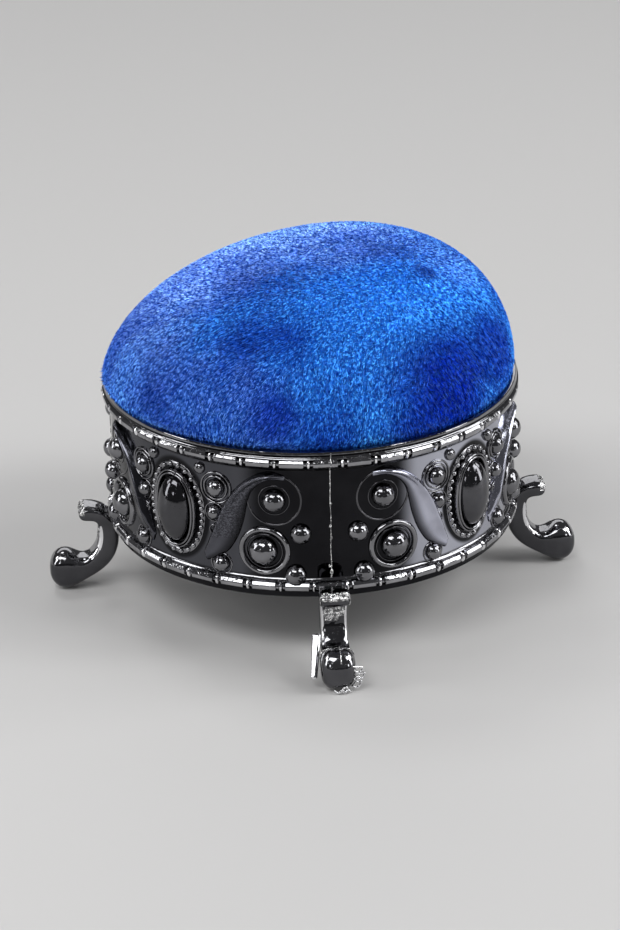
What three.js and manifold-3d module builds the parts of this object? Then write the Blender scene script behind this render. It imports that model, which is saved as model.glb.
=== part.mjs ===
// Footed pincushion: a velvet cushion glued into a cast ornamental ring that stands on four C-scroll feet.
// Millimetres, +Z up. The origin is on the floor below the middle, and the front foot points to -Y.
// Angles round the ring are counted in degrees from the front foot, towards +X.
import * as THREE from "three";
import { mergeVertices } from "three/addons/utils/BufferGeometryUtils.js";
import Module from "manifold-3d";

const wasm = await Module();
wasm.setup();

const SEAM_GAP = 0.3; // line of solder or glue between two pieces

// Base ring
const STAND_HEIGHT = 13.6; // floor to the ring's bottom edge
const RING_HEIGHT = 28.9;
const BAND_RADIUS = 37.9; // plain outer face between the two bead rings
const RING_WALL = 1.7;
const LIP_REACH = 1.1; // rolled lip beyond the band's face
const LIP_HEIGHT = 1.4;
const LIP_ROUND = 0.5;
const MOUTH_FLARE = 1.3; // how much the inside opens towards the lip
const MOUTH_DEPTH = 3.4;
const BEAD_COUNT = 40; // bars in each bead-and-reel ring
const BEAD_HEIGHT = 1.9;
const BEAD_REACH = 1.4; // crest of a bar beyond the band's face
const REEL_REACH = 0.75; // crest of the neck between two bars
const STEP_REACH = 0.35; // plain steps that carry the bead rings
const STEP_HEIGHT = 0.5;
const UPPER_BEAD_DROP = 2.4; // lip top to the upper bead line
const LOWER_BEAD_RISE = 2.1; // bottom edge to the lower bead line
const LEDGE_WIDTH = 2.7; // inner ledge that the cushion sits on
const LEDGE_THICKNESS = 1.5;
const LEDGE_RISE = 1.7;

// Cast ornament, the same in each half quarter. Heights are shares of the clear band between the bead rings.
const QUARTER_DEGREES = 90;
const CABOCHON_ANGLE = QUARTER_DEGREES / 2;
const ORNAMENT_ROOT = 0.6; // how deep an ornament is sunk in the wall
const LOWER_BOSS = { angle: 17.7, height: 0.285, radius: 2.8, proud: 1.95, facets: 10 };
const BOSS_RING = { radius: 4.55, width: 1.2, proud: 0.75, facets: 14 }; // round the lower boss
const PEARLS = [
  LOWER_BOSS,
  { angle: 15.0, height: 0.763, radius: 2.2, proud: 1.75, facets: 9 }, // upper boss
  { angle: 8.0, height: 0.464, radius: 2.0, proud: 1.65, facets: 8 }, // beside the mould seam
  { angle: 9.6, height: 0.085, radius: 2.0, proud: 1.6, facets: 8 },
  { angle: 31.5, height: 0.79, radius: 1.95, proud: 1.6, facets: 8 }, // beside the cabochon
  { angle: 31.3, height: 0.587, radius: 1.5, proud: 1.3, facets: 8 },
  { angle: 30.3, height: 0.1, radius: 1.75, proud: 1.4, facets: 8 },
];
const CABOCHON = { height: 0.505, halfWidth: 3.2, halfHeight: 6.3, proud: 1.35, facets: 12 };
const CABOCHON_RIM = { offset: 1.0, width: 1.1, proud: 0.85, facets: 16 }; // offset from the cabochon's edge
const SCROLL_CREST = [
  [12.0, 0.935],
  [18.6, 0.955],
  [23.8, 0.83],
  [27.8, 0.62],
  [30.0, 0.42],
  [34.4, 0.17],
]; // the leaf's sharp edge, as angle and height, from over the upper boss down to the cabochon
const SCROLL_LEAF_WIDTH = 3.6; // smooth side of the leaf, at its widest
const SCROLL_TIP_WIDTH = 0.5;
const SCROLL_EDGE_WIDTH = 0.7;
const SCROLL_PROUD = 0.85;
const SCROLL_FLANK = { across: 0.85, out: 0.35 }; // low side of the leaf, as shares of its width and crest
const SCROLL_STEPS = 7;
const DOME_TURNS = [0, 36, 72]; // rings of a cast dome, in degrees from its root
const SEAM_FLASH = 0.25; // mould seam over each foot

// Feet
const ARM_REACH = 5.5; // upper arm beyond the bead ring
const ARM_RISE = 3.3; // arm's top above the ring's bottom edge
const ARM_THICKNESS = 2.7;
const ARM_WIDTH = 5.7;
const STEM_THICKNESS = 4.2;
const STEM_OUTSET = 2.1; // stem's front beyond the bead ring
const STEM_WIDTH = 5.0;
const SCROLL_DIP = 6.1; // height of the hollow between stem and toe
const TOE_REACH = 11.8; // toe's tip beyond the bead ring
const TOE_DIAMETER = 7.7;
const TOE_WIDTH = 6.3;
const SOLE_LENGTH = 2.6; // from the heel to below the toe's front
const SOLE_FLAT = 0.7; // share of that length that is flat
const TOE_ARC = { start: -72, end: 112 }; // round part of the toe, in degrees from its front
const TOE_BACK = 0.85; // where the hollow starts behind the toe, as a share of the toe's radius
const BACK_BEND = { out: 0.5, high: 0.57, low: 0.35 }; // the back's curve: a bulge, and shares of its height
const HOLLOW_BEND = { toe: 0.8, toeRise: 0.25, floor: 1.8, stemRise: 1.6 }; // the hollow's curve over the toe
const ARMPIT_BEND = { down: 1.4, out: 0.4 }; // the curve from the stem into the arm
const FOOT_ROUNDING = 0.9;
const GATE_LUG = { proud: 1.0, root: 1.6, height: 7.6, width: 2.8, centreHeight: 4.9 }; // casting stub

// Cushion
const VELVET_THICKNESS = 1.5; // backing and pile together
const VELVET_TUCK = 0.7; // how far the velvet keeps inside the ring's mouth
const DOME_HEIGHT = 24.4; // crown above the ring's lip
const DOME_EDGE_INSET = 1.1; // how far the velvet stops short of the lip's outer edge
const DOME_FULLNESS = 0.85; // below 1 the shoulders are full
const DOME_TILT = 0.17; // the right shoulder is that much higher than the left
const DOME_TILT_FADE = 0.8; // how the tilt fades towards the crown
const DOME_LEAN = 1.0; // crown's shift towards +X
const DOME_EDGE_LIFT = 0.35; // velvet's first turn over the lip
const DOME_STEPS = [0.96, 0.88, 0.77, 0.65, 0.53, 0.41, 0.3, 0.2, 0.1]; // rows from the crown to the edge
const HEM_HOLE_RADIUS = 16; // gathered edge below the card
const CORNER_RADIUS = 2.2; // cushion's bottom corner
const INNER_CORNER = 1.0; // the same corner on the velvet's inside
const CARD_THICKNESS = 1.5;
const CARD_MARGIN = 0.4; // card's edge inside the velvet's inner corner
const THREAD_DIAMETER = 0.8;
const THREAD_SIDES = 5;
const FELT_THICKNESS = 1.0;
const CUSHION_STATIONS = 36;
const DISC_SIDES = 48;

// Sizes that follow from those above
const ringTop = STAND_HEIGHT + RING_HEIGHT;
const ringInner = BAND_RADIUS - RING_WALL;
const beadCrest = BAND_RADIUS + BEAD_REACH;
const upperBead = ringTop - UPPER_BEAD_DROP;
const lowerBead = STAND_HEIGHT + LOWER_BEAD_RISE;
const bandLow = lowerBead + BEAD_HEIGHT / 2 + STEP_HEIGHT;
const bandHigh = upperBead - BEAD_HEIGHT / 2 - STEP_HEIGHT;
const ledgeBottom = STAND_HEIGHT + LEDGE_RISE;
const ledgeTop = ledgeBottom + LEDGE_THICKNESS;
const cushionRadius = ringInner - SEAM_GAP;
const hemBottom = ledgeTop + SEAM_GAP;
const hemTop = hemBottom + VELVET_THICKNESS;
const cardBottom = hemTop + SEAM_GAP;
const cardTop = cardBottom + CARD_THICKNESS;
const feltBottom = ledgeBottom - SEAM_GAP - FELT_THICKNESS;
const domeRadius = BAND_RADIUS + LIP_REACH - DOME_EDGE_INSET;
const domeBase = ringTop + SEAM_GAP;
const domeEdge = domeBase + DOME_EDGE_LIFT;
const glueLeg = Math.SQRT2 * ((Math.SQRT2 - 1) * CORNER_RADIUS - SEAM_GAP); // up to the cushion's corner

const METAL = new THREE.MeshStandardMaterial({ color: 0xc9ccd4, roughness: 0.12, metalness: 1.0 });
const VELVET = new THREE.MeshStandardMaterial({ color: 0x1440b4, roughness: 0.95, metalness: 0.0 });
const FIBRE = new THREE.MeshStandardMaterial({ color: 0xe6e1d4, roughness: 1.0, metalness: 0.0 });
const CARD = new THREE.MeshStandardMaterial({ color: 0xa8895f, roughness: 0.9, metalness: 0.0 });
const THREAD = new THREE.MeshStandardMaterial({ color: 0x22346e, roughness: 0.8, metalness: 0.0 });
const FELT = new THREE.MeshStandardMaterial({ color: 0x20242e, roughness: 1.0, metalness: 0.0 });
const GLUE = new THREE.MeshStandardMaterial({ color: 0xd9cfa8, roughness: 0.4, metalness: 0.0 });

const radians = THREE.MathUtils.degToRad;
const degreesPerMm = 180 / Math.PI / BAND_RADIUS; // along the band's face

// A point at an angle round the ring, at a radius and a height.
function ringPoint(angle, radius, height) {
  return new THREE.Vector3(radius * Math.sin(radians(angle)), -radius * Math.cos(radians(angle)), height);
}

function bandHeight(share) {
  return bandLow + share * (bandHigh - bandLow);
}

// Skins a list of rows with equal numbers of points. A closed loft joins its last row to its first,
// and an open one has a fan of triangles on each end row.
function loft(rows, closed) {
  const across = rows[0].length;
  const points = rows.flat();
  const faces = [];
  const lastRow = closed ? rows.length : rows.length - 1;
  for (let row = 0; row < lastRow; row++) {
    const here = row * across;
    const next = ((row + 1) % rows.length) * across;
    for (let i = 0; i < across; i++) {
      const j = (i + 1) % across;
      faces.push(here + i, here + j, next + j);
      faces.push(here + i, next + j, next + i);
    }
  }
  if (!closed) {
    for (const [start, turn] of [[0, 1], [(rows.length - 1) * across, -1]]) {
      const centre = new THREE.Vector3();
      for (let i = 0; i < across; i++) centre.addScaledVector(points[start + i], 1 / across);
      points.push(centre);
      for (let i = 0; i < across; i++) {
        const j = (i + 1) % across;
        const edge = turn > 0 ? [start + j, start + i] : [start + i, start + j];
        faces.push(...edge, points.length - 1);
      }
    }
  }
  const geometry = new THREE.BufferGeometry().setFromPoints(points);
  geometry.setIndex(faces);
  return faceOutwards(geometry);
}

// Turns all faces round where the enclosed volume comes out negative.
function faceOutwards(geometry) {
  const at = geometry.attributes.position;
  const index = geometry.index.array;
  const [a, b, c] = [new THREE.Vector3(), new THREE.Vector3(), new THREE.Vector3()];
  let volume = 0;
  for (let i = 0; i < index.length; i += 3) {
    a.fromBufferAttribute(at, index[i]);
    b.fromBufferAttribute(at, index[i + 1]);
    c.fromBufferAttribute(at, index[i + 2]);
    volume += a.dot(b.cross(c)) / 6;
  }
  if (volume < 0) {
    for (let i = 0; i < index.length; i += 3) [index[i + 1], index[i + 2]] = [index[i + 2], index[i + 1]];
  }
  geometry.computeVertexNormals();
  return geometry;
}

function toSolid(geometry) {
  const bare = geometry.clone();
  bare.deleteAttribute("normal");
  bare.deleteAttribute("uv");
  const merged = mergeVertices(bare, 1e-4);
  return new wasm.Manifold(
    new wasm.Mesh({
      numProp: 3,
      vertProperties: new Float32Array(merged.attributes.position.array),
      triVerts: new Uint32Array(merged.index.array),
    }),
  );
}

function toGeometry(solid) {
  const mesh = solid.getMesh();
  const geometry = new THREE.BufferGeometry();
  geometry.setAttribute("position", new THREE.BufferAttribute(new Float32Array(mesh.vertProperties), 3));
  geometry.setIndex(new THREE.BufferAttribute(new Uint32Array(mesh.triVerts), 1));
  geometry.computeVertexNormals();
  return geometry;
}

function namedMesh(name, geometry, material) {
  const mesh = new THREE.Mesh(geometry, material);
  mesh.name = name;
  return mesh;
}

// Half-round bead: four points from its lower to its upper edge.
function beadOutline(middle, reach) {
  const outline = [];
  for (const turn of [-90, -35, 35, 90]) {
    const radius = BAND_RADIUS + STEP_REACH + (reach - STEP_REACH) * Math.cos(radians(turn));
    outline.push([radius, middle + (BEAD_HEIGHT / 2) * Math.sin(radians(turn))]);
  }
  return outline;
}

// The ring's section where its bead rings stand out by the given reach.
function ringSection(reach) {
  const lip = BAND_RADIUS + LIP_REACH;
  return [
    [ringInner, STAND_HEIGHT],
    [BAND_RADIUS + STEP_REACH, STAND_HEIGHT],
    ...beadOutline(lowerBead, reach),
    [BAND_RADIUS, bandLow],
    [BAND_RADIUS, bandHigh],
    ...beadOutline(upperBead, reach),
    [lip, ringTop - LIP_HEIGHT],
    [lip, ringTop - LIP_ROUND],
    [lip - LIP_ROUND, ringTop],
    [ringInner + MOUTH_FLARE, ringTop - LIP_ROUND / 3],
    [ringInner, ringTop - MOUTH_DEPTH],
    [ringInner, ledgeTop],
    [ringInner - LEDGE_WIDTH, ledgeTop],
    [ringInner - LEDGE_WIDTH, ledgeBottom],
    [ringInner, ledgeBottom],
  ];
}

// Ring body: one station at each neck of the bead rings and one at the middle of each bar.
function ringBody() {
  const pitch = 360 / BEAD_COUNT;
  const rows = [];
  for (let bead = 0; bead < BEAD_COUNT; bead++) {
    for (const [angle, reach] of [[bead * pitch, BEAD_REACH], [(bead + 0.5) * pitch, REEL_REACH]]) {
      rows.push(ringSection(reach).map(([radius, height]) => ringPoint(angle, radius, height)));
    }
  }
  return loft(rows, true);
}

// A cast dome on the band, round or oval, its root sunk in the wall.
function castDome(angle, height, halfWidth, halfHeight, proud, facets) {
  const rows = DOME_TURNS.map((turn) => {
    const out = (proud + ORNAMENT_ROOT) * Math.sin(radians(turn)) - ORNAMENT_ROOT;
    const spread = Math.cos(radians(turn));
    const row = [];
    for (let i = 0; i < facets; i++) {
      const round = (2 * Math.PI * i) / facets;
      const across = halfWidth * spread * Math.cos(round) * degreesPerMm;
      row.push(ringPoint(angle + across, BAND_RADIUS + out, height + halfHeight * spread * Math.sin(round)));
    }
    return row;
  });
  return loft(rows, false);
}

// A raised line on the band. Each station has its place, the direction across the line, and its section
// as pairs of distance across and distance out. Side -1 mirrors it at the seam.
function raisedLine(stations, closed, seam, side) {
  const rows = stations.map(({ angle, height, across, section }) =>
    section.map(([offset, out]) => {
      const turn = angle + across.x * offset * degreesPerMm;
      return ringPoint(seam + side * turn, BAND_RADIUS + out, height + across.y * offset);
    }),
  );
  return loft(rows, closed);
}

function ovalLine(angle, height, halfWidth, halfHeight, { width, proud, facets }) {
  const section = [
    [-width / 2, -ORNAMENT_ROOT],
    [width / 2, -ORNAMENT_ROOT],
    [0, proud],
  ];
  const stations = [];
  for (let i = 0; i < facets; i++) {
    const round = (2 * Math.PI * i) / facets;
    stations.push({
      angle: halfWidth * Math.cos(round) * degreesPerMm,
      height: height + halfHeight * Math.sin(round),
      across: new THREE.Vector2(Math.cos(round) / halfWidth, Math.sin(round) / halfHeight).normalize(),
      section,
    });
  }
  return raisedLine(stations, true, angle, 1);
}

// The scrolled leaf between the bosses and the cabochon. It slopes from its sharp edge towards the seam.
function scrollLeaf(seam, side) {
  const crest = new THREE.CatmullRomCurve3(
    SCROLL_CREST.map(([angle, share]) => new THREE.Vector3(angle / degreesPerMm, bandHeight(share), 0)),
  );
  const stations = [];
  for (let i = 0; i <= SCROLL_STEPS; i++) {
    const at = crest.getPointAt(i / SCROLL_STEPS);
    const way = crest.getTangentAt(i / SCROLL_STEPS);
    const leaf = SCROLL_TIP_WIDTH + SCROLL_LEAF_WIDTH * Math.sin((Math.PI * i) / SCROLL_STEPS);
    stations.push({
      angle: at.x * degreesPerMm,
      height: at.y,
      across: new THREE.Vector2(-way.y, way.x),
      section: [
        [-leaf, -ORNAMENT_ROOT],
        [SCROLL_EDGE_WIDTH, -ORNAMENT_ROOT],
        [0, SCROLL_PROUD],
        [-leaf * SCROLL_FLANK.across, SCROLL_PROUD * SCROLL_FLANK.out],
      ],
    });
  }
  return raisedLine(stations, false, seam, side);
}

// Thin line of flash where two sides of the mould met.
function seamLine(angle) {
  const line = new THREE.CylinderGeometry(SEAM_FLASH, SEAM_FLASH, bandHigh - bandLow + STEP_HEIGHT, 4);
  const middle = ringPoint(angle, BAND_RADIUS, (bandHigh + bandLow) / 2);
  return line.rotateX(Math.PI / 2).rotateZ(radians(angle)).translate(middle.x, middle.y, middle.z);
}

function baseRing() {
  const ornaments = [];
  for (let quarter = 0; quarter < 4; quarter++) {
    const seam = quarter * QUARTER_DEGREES;
    const middle = seam + CABOCHON_ANGLE;
    const { halfWidth, halfHeight, proud, facets } = CABOCHON;
    const height = bandHeight(CABOCHON.height);
    const rimHalfWidth = halfWidth + CABOCHON_RIM.offset;
    const rimHalfHeight = halfHeight + CABOCHON_RIM.offset;
    ornaments.push(seamLine(seam));
    ornaments.push(castDome(middle, height, halfWidth, halfHeight, proud, facets));
    ornaments.push(ovalLine(middle, height, rimHalfWidth, rimHalfHeight, CABOCHON_RIM));
    for (const side of [1, -1]) {
      for (const pearl of PEARLS) {
        const angle = seam + side * pearl.angle;
        const { radius } = pearl;
        ornaments.push(castDome(angle, bandHeight(pearl.height), radius, radius, pearl.proud, pearl.facets));
      }
      const bossAngle = seam + side * LOWER_BOSS.angle;
      const { radius } = BOSS_RING;
      ornaments.push(ovalLine(bossAngle, bandHeight(LOWER_BOSS.height), radius, radius, BOSS_RING));
      ornaments.push(scrollLeaf(seam, side));
    }
  }
  let solid = toSolid(ringBody());
  for (const ornament of ornaments) solid = solid.add(toSolid(ornament));
  return toGeometry(solid);
}

// The foot's side view, from its seat down the back, round the toe and up the front to the arm. Its x is the
// distance from the ring's axis and its y the height.
function footProfile() {
  const seat = beadCrest + SEAM_GAP;
  const top = STAND_HEIGHT + ARM_RISE;
  const underRing = STAND_HEIGHT - SEAM_GAP;
  const armRound = ARM_THICKNESS / 2;
  const armCentre = beadCrest + ARM_REACH - armRound;
  const stemFront = beadCrest + STEM_OUTSET;
  const stemBack = stemFront - STEM_THICKNESS;
  const toeRound = TOE_DIAMETER / 2;
  const toeCentre = beadCrest + TOE_REACH - toeRound;
  const soleBack = toeCentre - SOLE_LENGTH / 2;
  const toeEnd = radians(TOE_ARC.end);
  const toeEndX = toeCentre + toeRound * Math.cos(toeEnd);
  const toeEndY = toeRound + toeRound * Math.sin(toeEnd);
  const dipX = toeCentre - toeRound * TOE_BACK;
  const armBottom = top - ARM_THICKNESS;
  const middleHeight = (SCROLL_DIP + armBottom) / 2;
  const profile = new THREE.Shape();
  profile.moveTo(seat, underRing);
  profile.lineTo(stemBack, underRing);
  const backTop = new THREE.Vector2(stemBack - BACK_BEND.out, underRing * BACK_BEND.high);
  const backLow = new THREE.Vector2(stemFront, underRing * BACK_BEND.low);
  profile.bezierCurveTo(backTop.x, backTop.y, backLow.x, backLow.y, soleBack, 0);
  profile.lineTo(soleBack + SOLE_LENGTH * SOLE_FLAT, 0);
  profile.absarc(toeCentre, toeRound, toeRound, radians(TOE_ARC.start), toeEnd, false);
  const curlY = SCROLL_DIP + (toeEndY - SCROLL_DIP) * HOLLOW_BEND.toeRise;
  profile.quadraticCurveTo(toeEndX - HOLLOW_BEND.toe, curlY, dipX, SCROLL_DIP);
  const hollowX = dipX - HOLLOW_BEND.floor;
  const hollowY = SCROLL_DIP + HOLLOW_BEND.stemRise;
  profile.bezierCurveTo(hollowX, SCROLL_DIP, stemFront, hollowY, stemFront, middleHeight);
  const armpitX = stemFront + ARMPIT_BEND.out;
  const armpitY = armBottom - ARMPIT_BEND.down;
  profile.bezierCurveTo(stemFront, armpitY, armpitX, armBottom, armCentre, armBottom);
  profile.absarc(armCentre, top - armRound, armRound, radians(-90), radians(90), false);
  profile.lineTo(seat, top);
  profile.closePath();
  return profile;
}

// The foot's width: narrow at the stem, wider at the arm and the toe.
function footWidth(radius, height) {
  const { smoothstep } = THREE.MathUtils;
  const armBottom = STAND_HEIGHT + ARM_RISE - ARM_THICKNESS;
  const toeCentre = beadCrest + TOE_REACH - TOE_DIAMETER / 2;
  const arm = smoothstep(height, armBottom - ARM_THICKNESS, armBottom);
  const toe = smoothstep(radius, beadCrest + STEM_OUTSET, toeCentre);
  const low = 1 - smoothstep(height, TOE_DIAMETER, TOE_DIAMETER + STEM_OUTSET);
  return STEM_WIDTH + (ARM_WIDTH - STEM_WIDTH) * arm + (TOE_WIDTH - STEM_WIDTH) * toe * low;
}

// A foot that points to +X.
function foot() {
  const geometry = new THREE.ExtrudeGeometry(footProfile(), {
    depth: STEM_WIDTH - 2 * FOOT_ROUNDING,
    bevelThickness: FOOT_ROUNDING,
    bevelSize: FOOT_ROUNDING,
    bevelOffset: -FOOT_ROUNDING,
    bevelSegments: 2,
    curveSegments: 5,
  });
  geometry.translate(0, 0, FOOT_ROUNDING - STEM_WIDTH / 2);
  const at = geometry.attributes.position;
  for (let i = 0; i < at.count; i++) {
    at.setZ(i, (at.getZ(i) * footWidth(at.getX(i), at.getY(i))) / STEM_WIDTH);
  }
  geometry.rotateX(Math.PI / 2);
  return geometry;
}

// The front foot still has the stub of its casting gate on its left side.
function footWithGateLug() {
  const { proud, root, height, width, centreHeight } = GATE_LUG;
  const outline = new THREE.Shape();
  const straight = (height - width) / 2;
  outline.absarc(0, straight, width / 2, 0, Math.PI, false);
  outline.absarc(0, -straight, width / 2, Math.PI, 2 * Math.PI, false);
  const lug = new THREE.ExtrudeGeometry(outline, {
    depth: root + proud,
    bevelEnabled: false,
    curveSegments: 5,
  });
  const radius = beadCrest + STEM_OUTSET + width / 2;
  lug.rotateX(Math.PI / 2).translate(radius, root - TOE_WIDTH / 2, centreHeight);
  return toGeometry(toSolid(foot()).add(toSolid(lug)));
}

// A ring of points round the cushion, at one step of its dome from edge to crown.
function domeRow(rise, inset) {
  const row = [];
  const across = Math.cos((rise * Math.PI) / 2);
  const up = Math.sin((rise * Math.PI) / 2);
  for (let i = 0; i < CUSHION_STATIONS; i++) {
    const angle = (360 * i) / CUSHION_STATIONS;
    const tilt = 1 + DOME_TILT * Math.sin(radians(angle)) * across ** DOME_TILT_FADE;
    const height = domeEdge + (DOME_HEIGHT - inset) * tilt * up;
    const point = ringPoint(angle, (domeRadius - inset) * across ** DOME_FULLNESS, height);
    point.x += DOME_LEAN * up;
    row.push(point);
  }
  return row;
}

function roundRow(radius, height) {
  const row = [];
  for (let i = 0; i < CUSHION_STATIONS; i++) {
    row.push(ringPoint((360 * i) / CUSHION_STATIONS, radius, height));
  }
  return row;
}

// Velvet shell: over the dome, drawn in below the lip, down the ring's wall and in below the card.
function velvetCover() {
  const mouth = ringInner + MOUTH_FLARE;
  const inner = cushionRadius - VELVET_THICKNESS;
  const cornerCut = CORNER_RADIUS * (1 - Math.SQRT1_2);
  const rows = DOME_STEPS.map((rise) => domeRow(rise, 0));
  rows.push(roundRow(domeRadius, domeEdge));
  rows.push(roundRow(mouth - VELVET_TUCK, ringTop - VELVET_TUCK));
  rows.push(roundRow(cushionRadius, ringTop - MOUTH_DEPTH));
  rows.push(roundRow(cushionRadius, hemBottom + CORNER_RADIUS));
  rows.push(roundRow(cushionRadius - cornerCut, hemBottom + cornerCut));
  rows.push(roundRow(cushionRadius - CORNER_RADIUS, hemBottom));
  rows.push(roundRow(HEM_HOLE_RADIUS, hemBottom));
  rows.push(roundRow(HEM_HOLE_RADIUS, hemTop));
  rows.push(roundRow(inner - INNER_CORNER, hemTop));
  rows.push(roundRow(inner, hemTop + INNER_CORNER));
  rows.push(roundRow(inner, ringTop - MOUTH_DEPTH));
  rows.push(roundRow(domeRadius - VELVET_THICKNESS, domeEdge));
  for (const rise of DOME_STEPS.toReversed()) rows.push(domeRow(rise, VELVET_THICKNESS));
  return loft(rows, false);
}

function stuffing() {
  const radius = cushionRadius - VELVET_THICKNESS - SEAM_GAP;
  const inset = VELVET_THICKNESS + SEAM_GAP;
  const rows = DOME_STEPS.map((rise) => domeRow(rise, inset));
  rows.push(roundRow(domeRadius - inset, domeEdge));
  rows.push(roundRow(radius, ringTop - MOUTH_DEPTH));
  rows.push(roundRow(radius, cardTop + SEAM_GAP));
  return loft(rows, false);
}

function disc(radius, bottom, thickness) {
  const geometry = new THREE.CylinderGeometry(radius, radius, thickness, DISC_SIDES);
  return geometry.rotateX(Math.PI / 2).translate(0, 0, bottom + thickness / 2);
}

// A ring swept from a small section, given as radius and height pairs.
function sweptRing(section, stations) {
  const rows = [];
  for (let i = 0; i < stations; i++) {
    rows.push(section.map(([radius, height]) => ringPoint((360 * i) / stations, radius, height)));
  }
  return loft(rows, true);
}

function gatheringThread() {
  const section = [];
  const radius = HEM_HOLE_RADIUS - SEAM_GAP - THREAD_DIAMETER / 2;
  for (let i = 0; i < THREAD_SIDES; i++) {
    const turn = (2 * Math.PI * i) / THREAD_SIDES;
    section.push([
      radius + (THREAD_DIAMETER / 2) * Math.cos(turn),
      (hemBottom + hemTop) / 2 + (THREAD_DIAMETER / 2) * Math.sin(turn),
    ]);
  }
  return sweptRing(section, CUSHION_STATIONS);
}

function glueBead() {
  const radius = ringInner - SEAM_GAP;
  const section = [
    [radius, hemBottom],
    [radius, hemBottom + glueLeg],
    [radius - glueLeg, hemBottom],
  ];
  return sweptRing(section, CUSHION_STATIONS);
}

const pincushion = new THREE.Group();

pincushion.add(namedMesh("base_ring", baseRing(), METAL));

const FEET = [
  { name: "front_foot", angle: -90 },
  { name: "right_foot", angle: 0 },
  { name: "rear_foot", angle: 90 },
  { name: "left_foot", angle: 180 },
];
for (const { name, angle } of FEET) {
  const mesh = namedMesh(name, name === "front_foot" ? footWithGateLug() : foot(), METAL);
  mesh.rotation.z = radians(angle);
  pincushion.add(mesh);
}

const cushion = new THREE.Group();
cushion.add(namedMesh("velvet_cover", velvetCover(), VELVET));
cushion.add(namedMesh("stuffing", stuffing(), FIBRE));
const cardRadius = cushionRadius - VELVET_THICKNESS - INNER_CORNER - CARD_MARGIN;
cushion.add(namedMesh("backing_card", disc(cardRadius, cardBottom, CARD_THICKNESS), CARD));
cushion.add(namedMesh("gathering_thread", gatheringThread(), THREAD));
pincushion.add(cushion);

pincushion.add(namedMesh("glue_bead", glueBead(), GLUE));
pincushion.add(namedMesh("underside_felt", disc(ringInner - SEAM_GAP, feltBottom, FELT_THICKNESS), FELT));

export default pincushion;
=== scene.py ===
"""Footed pincushion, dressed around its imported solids.

A blue velvet dome sits in a bright plated ring, cast with bead-and-reel borders, pearls, scroll leaves and
oval cabochons, which stands on four C-scroll feet. Angles round the ring are in degrees from the front foot,
which points to -Y, towards +X. Outwards on the front of the ring is -Y, so the ornament is modelled flat
there, bent onto the band and copied round.
"""

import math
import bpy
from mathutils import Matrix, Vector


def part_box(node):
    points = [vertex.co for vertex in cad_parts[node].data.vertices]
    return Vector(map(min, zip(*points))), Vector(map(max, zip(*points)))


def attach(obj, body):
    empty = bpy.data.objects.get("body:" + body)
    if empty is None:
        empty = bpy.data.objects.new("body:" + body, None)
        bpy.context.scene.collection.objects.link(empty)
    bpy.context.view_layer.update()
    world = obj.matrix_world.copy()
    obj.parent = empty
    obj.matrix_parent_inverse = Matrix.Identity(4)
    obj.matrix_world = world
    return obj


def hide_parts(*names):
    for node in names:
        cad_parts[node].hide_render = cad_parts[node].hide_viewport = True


bl_info = {
    "name": "Footed Pincushion",
    "version": (1, 0, 0),
    "blender": (4, 5, 0),
    "location": "View3D > Sidebar > Pincushion",
    "description": "Builds the visible pieces of a velvet pincushion in a plated cast ring on scroll feet",
    "category": "Add Mesh",
}

import bmesh
import bpy
from bpy.props import FloatProperty, FloatVectorProperty, IntProperty, PointerProperty
from bpy.types import Operator, Panel, PropertyGroup
from mathutils import Matrix, Vector, noise

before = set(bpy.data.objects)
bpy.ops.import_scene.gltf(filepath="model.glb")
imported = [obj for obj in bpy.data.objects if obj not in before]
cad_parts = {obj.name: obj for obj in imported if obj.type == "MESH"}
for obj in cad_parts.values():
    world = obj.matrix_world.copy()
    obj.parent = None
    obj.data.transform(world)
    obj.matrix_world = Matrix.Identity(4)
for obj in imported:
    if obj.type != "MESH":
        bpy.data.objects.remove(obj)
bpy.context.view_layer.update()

MM = 0.001
BODY = "root"
WELD = 0.00001  # distance within which corners are merged
QUARTER = 90.0  # degrees between two feet
RING_LOW, RING_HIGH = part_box("base_ring")
FEET = {"front_foot": 0.0, "right_foot": 90.0, "rear_foot": 180.0, "left_foot": 270.0}
SEAM_TURN = 0.3  # degrees by which the mould seams and the feet are off their places
CABOCHON_HEIGHT = 27.8 * MM  # of the cabochons' middles


def length(name, description, millimetres):
    """A length that the user can change."""
    return FloatProperty(
        name=name, description=description, default=millimetres * MM, min=0.0, precision=5, unit="LENGTH"
    )


def colour(name, description, value):
    """A colour that the user can change."""
    return FloatVectorProperty(
        name=name, description=description, default=value, size=4, min=0.0, max=1.0, subtype="COLOR"
    )


class PincushionRingSizes(PropertyGroup):
    """Sizes of the cast ring."""

    band_radius: length("Band radius", "Plain outer face between the two bead rows", 37.9)
    inner_radius: length("Inner radius", "Inside of the wall", 36.2)
    step_reach: length("Step reach", "Plain steps that carry the bead rows, beyond the band", 0.35)
    lip_reach: length("Lip reach", "Smooth lip beyond the band", 0.95)
    line_reach: length("Line reach", "Raised line between the lip and the beads, beyond the band", 1.28)
    mouth_flare: length("Mouth flare", "How far the inside opens at the lip", 1.3)
    mouth_depth: length("Mouth depth", "Height of the opened part", 3.4)
    upper_beads: length("Upper bead row", "Height of the upper bead row's middle", 40.05)
    lower_beads: length("Lower bead row", "Height of the lower bead row's middle", 15.75)
    bead_height: length("Bead height", "Height of a bar in the bead rows", 1.9)
    bar_length: length("Bar length", "Length of a bar in the bead rows", 4.35)
    reel_length: length("Reel length", "Thickness of the small disc between two bars", 0.9)
    reel_radius: length("Reel radius", "Radius of the small disc between two bars", 1.02)
    bead_count: IntProperty(name="Bead count", description="Bars in each bead row", default=40, min=8)
    sides: IntProperty(name="Sides", description="Facets round the wall", default=288, min=32)


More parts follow.
